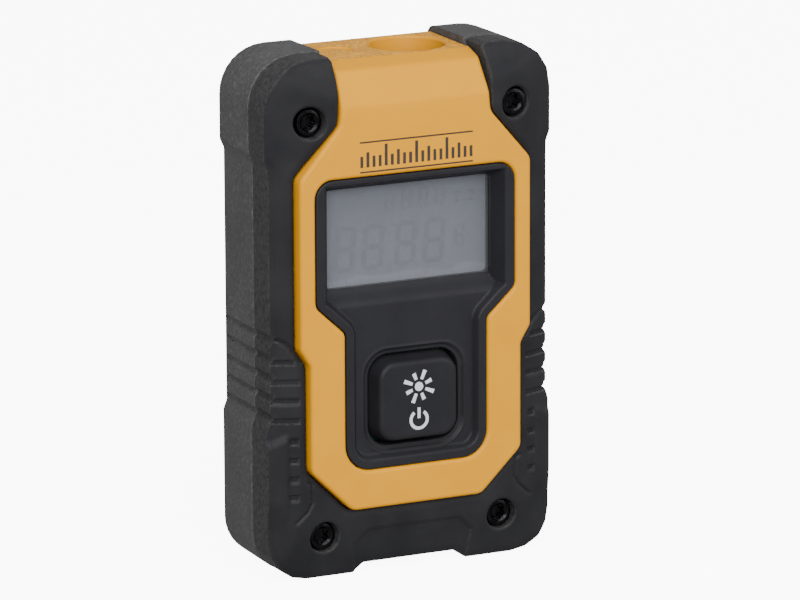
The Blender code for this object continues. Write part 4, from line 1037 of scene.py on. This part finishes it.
def build():
    yellow = yellow_abs("yellow_abs")
    rubber = overmould("bumper_overmould")
    rear = textured_black("rear_texture")
    bezel = satin_black("bezel_black", srgb(32, 32, 35), srgb(36, 36, 39), 0.46)
    button = satin_black("button_black", srgb(30, 30, 33), srgb(34, 34, 37), 0.48)
    screw = metal("black_oxide", srgb(24, 24, 26), srgb(44, 44, 46), 0.22)
    ink = plain("black_ink", srgb(44, 36, 28), srgb(52, 44, 34), 0.5)
    pale_ink = plain("pale_ink", srgb(196, 200, 212), srgb(206, 210, 220), 0.5)
    marks = plain("display_marks", srgb(55, 58, 66), srgb(58, 61, 69), 0.3)

    extent = (-24, 24, -0.5, 80)
    mesh = relief("bumper_skin", bumper_distance(), bumper_height, BUMPER_ROUND, BUMPER_BACK_Y, PITCH, extent)
    add_piece("bumper_skin", mesh, rubber, "case", ["front_bumper"])
    extent = (-20, 20, 10, 79.2)
    mesh = relief("yellow_housing", yellow_distance(), yellow_height, FACE_ROUND, FACE_BACK, PITCH, extent)
    add_piece("yellow_housing", cut_level(mesh, FACE_TOP), yellow, "case", ["front_shell"])
    add_piece("top_plate", lid_mesh(), yellow_textured("yellow_textured"), "case")
    extent = (-17, 17, 16, 62)
    mesh = relief(
        "bezel_panel", bezel_distance(), bezel_height(), BEZEL_ROUND, BEZEL_BACK, FINE_PITCH, extent
    )
    add_piece("bezel_panel", mesh, bezel, "case", ["display_bezel"])
    key = around_button(0.0, KEY_CORNER)
    extent = (-7, 7, 20, 33.2)
    mesh = relief("key_cap", key, button_height, KEY_ROUND, KEY_BACK, KEY_PITCH, extent, flare=KEY_FLARE)
    add_piece("key_cap", mesh, button, "button", ["measure_button"])
    mesh = flat_shapes("key_marks", button_marks(), PAD_Y + 0.005, INK)
    add_piece("key_marks", mesh, pale_ink, "button")
    mesh = flat_shapes("scale_print", scale_marks(), FACE_Y - 0.012, INK)
    add_piece("scale_print", mesh, ink, "case")
    add_piece("rear_housing", rear_mesh(), rear, "case", ["rear_shell"])
    for index, (x, z) in enumerate(SCREWS):
        name, replaced = f"torx_screw_{index + 1}", f"case_screw_{index + 1}"
        add_piece(name, screw_head(index, x, z), screw, "case", [replaced])
    mesh = flat_shapes("segment_marks", display_marks(), LCD_Y - 0.02, 0.01)
    add_piece("segment_marks", mesh, marks, "case")

    dress("lcd_panel", display_grey("display_grey"))
    dress("display_window", clear("window_clear", 0.06, srgb(210, 214, 220)))
    dress("emitter_window", clear("emitter_clear", 0.3, srgb(120, 60, 50)))
    dress("perimeter_gasket", satin_black("gasket_black", srgb(24, 24, 25), srgb(30, 30, 31), 0.65))
    dress("lcd_backlight", plain("light_guide", srgb(222, 226, 226), srgb(230, 232, 232), 0.4))
    dress("lcd_connector", satin_black("connector_black", srgb(26, 26, 27), srgb(32, 32, 33), 0.6))
    dress("tact_switch_body", satin_black("switch_black", srgb(30, 30, 30), srgb(36, 36, 36), 0.5))
    dress("tact_switch_stem", plain("stem_red", srgb(150, 60, 48), srgb(158, 66, 52), 0.5))
    laminate = plain("board_green", srgb(24, 84, 50), srgb(32, 96, 60), 0.4, 1.0)
    dress("main_board", laminate)
    dress("receiver_board", laminate)
    tin = metal("tin_plate", srgb(176, 178, 180), srgb(200, 202, 204), 0.35)
    dress("shield_can", tin)
    dress("charging_socket", tin)
    dress("receiver_sensor", tin)
    dress("processor_chip", satin_black("chip_resin", srgb(28, 28, 29), srgb(34, 34, 35), 0.6))
    dress("battery_cell", plain("cell_foil", srgb(168, 172, 176), srgb(184, 188, 192), 0.35, 1.5, 0.4, 0.8))
    dress("battery_foam", plain("foam_grey", srgb(40, 40, 42), srgb(52, 52, 54), 0.9, 0.6, 0.8))
    dress("port_cover", satin_black("cover_rubber", srgb(36, 36, 38), srgb(44, 44, 46), 0.65, 0.15))
    dress("optics_chassis", satin_black("chassis_black", srgb(24, 24, 25), srgb(30, 30, 31), 0.6, 0.1))
    dress("receiver_lens", lens_finish("coated_lens"))
    dress("collimator_lens", lens_finish("collimator_coat"))
    retainer = satin_black("retainer_black", srgb(22, 22, 23), srgb(28, 28, 29), 0.5, 0.1)
    dress("receiver_lens_retainer", retainer)
    brass = metal("turned_brass", srgb(176, 138, 66), srgb(204, 168, 92), 0.3)
    dress("laser_barrel", brass)
    dress("laser_diode", brass)


def lens_finish(name):
    made = Finish(name, 0.04, specular=0.8)
    made.tones(made.noise(6.0), (0.3, srgb(52, 30, 42)), (0.7, srgb(70, 34, 40)))
    made.set("Alpha", 0.65)
    made.rough(made.noise(2.0), 0.03, 0.07)
    made.set("Coat Weight", 0.6)
    made.set("Coat Roughness", 0.03)
    return made.material


# Surroundings


def stage():
    mesh = bpy.data.meshes.new("floor")
    half = FLOOR_HALF
    corners = [(-half, -half, 0), (half, -half, 0), (half, half, 0), (-half, half, 0)]
    mesh.from_pydata(corners, [], [(0, 1, 2, 3)])
    floor = bpy.data.objects.new("floor", mesh)
    bpy.context.scene.collection.objects.link(floor)
    floor.location.z = -FLOOR_DROP
    pale = Finish("pale_floor", 0.9, specular=0.1)
    pale.tones(pale.noise(400.0, 1.0), (0.3, (0.93, 0.93, 0.93, 1)), (0.7, (0.95, 0.95, 0.95, 1)))
    pale.set("Emission Color", (1.0, 1.0, 1.0, 1.0))
    pale.set("Emission Strength", FLOOR_GLOW)
    mesh.materials.append(pale.material)
    # The glow is only for the camera: it lights neither the meter nor its gloss.
    floor.visible_diffuse = False
    floor.visible_glossy = False


def light(name, place, aim, size, power):
    data = bpy.data.lights.new(name, "AREA")
    data.shape = "RECTANGLE"
    data.size, data.size_y = size
    data.energy = power
    made = bpy.data.objects.new(name, data)
    bpy.context.scene.collection.objects.link(made)
    made.location = place
    made.rotation_euler = (Vector(aim) - Vector(place)).to_track_quat("-Z", "Y").to_euler()


def lights():
    world = bpy.data.worlds.new("studio")
    bpy.context.scene.world = world
    world.use_nodes = True
    background = world.node_tree.nodes["Background"]
    background.inputs["Color"].default_value = (1.0, 1.0, 1.0, 1.0)
    background.inputs["Strength"].default_value = WORLD_STRENGTH
    aim = (0.0, 0.0, 0.04)
    light("key", (-0.4, -0.85, 0.42), aim, (0.6, 0.5), 12.0)
    light("fill", (0.6, -0.6, 0.25), aim, (0.5, 0.5), 2.5)
    light("overhead", (-0.05, -0.45, 0.75), aim, (0.8, 0.4), 4.0)


def camera():
    azimuth, elevation, roll = (math.radians(a) for a in (AZIMUTH, ELEVATION, ROLL))
    distance = CAMERA_DISTANCE * MM
    target = Vector(CAMERA_TARGET) * MM
    back = Vector((
        math.sin(azimuth) * math.cos(elevation),
        -math.cos(azimuth) * math.cos(elevation),
        math.sin(elevation),
    ))
    right = Vector((math.cos(azimuth), math.sin(azimuth), 0.0))
    up = back.cross(right)
    turned_right = math.cos(roll) * right + math.sin(roll) * up
    turned_up = -math.sin(roll) * right + math.cos(roll) * up
    data = bpy.data.cameras.new("camera")
    data.sensor_width = 36.0
    data.lens = CAMERA_LENS
    data.clip_end = 20.0
    made = bpy.data.objects.new("camera", data)
    bpy.context.scene.collection.objects.link(made)
    facing = Matrix((turned_right, turned_up, back)).transposed()
    made.matrix_world = Matrix.Translation(target + back * distance) @ facing.to_4x4()
    bpy.context.scene.camera = made


build()
stage()
lights()
camera()
bpy.context.view_layer.update()
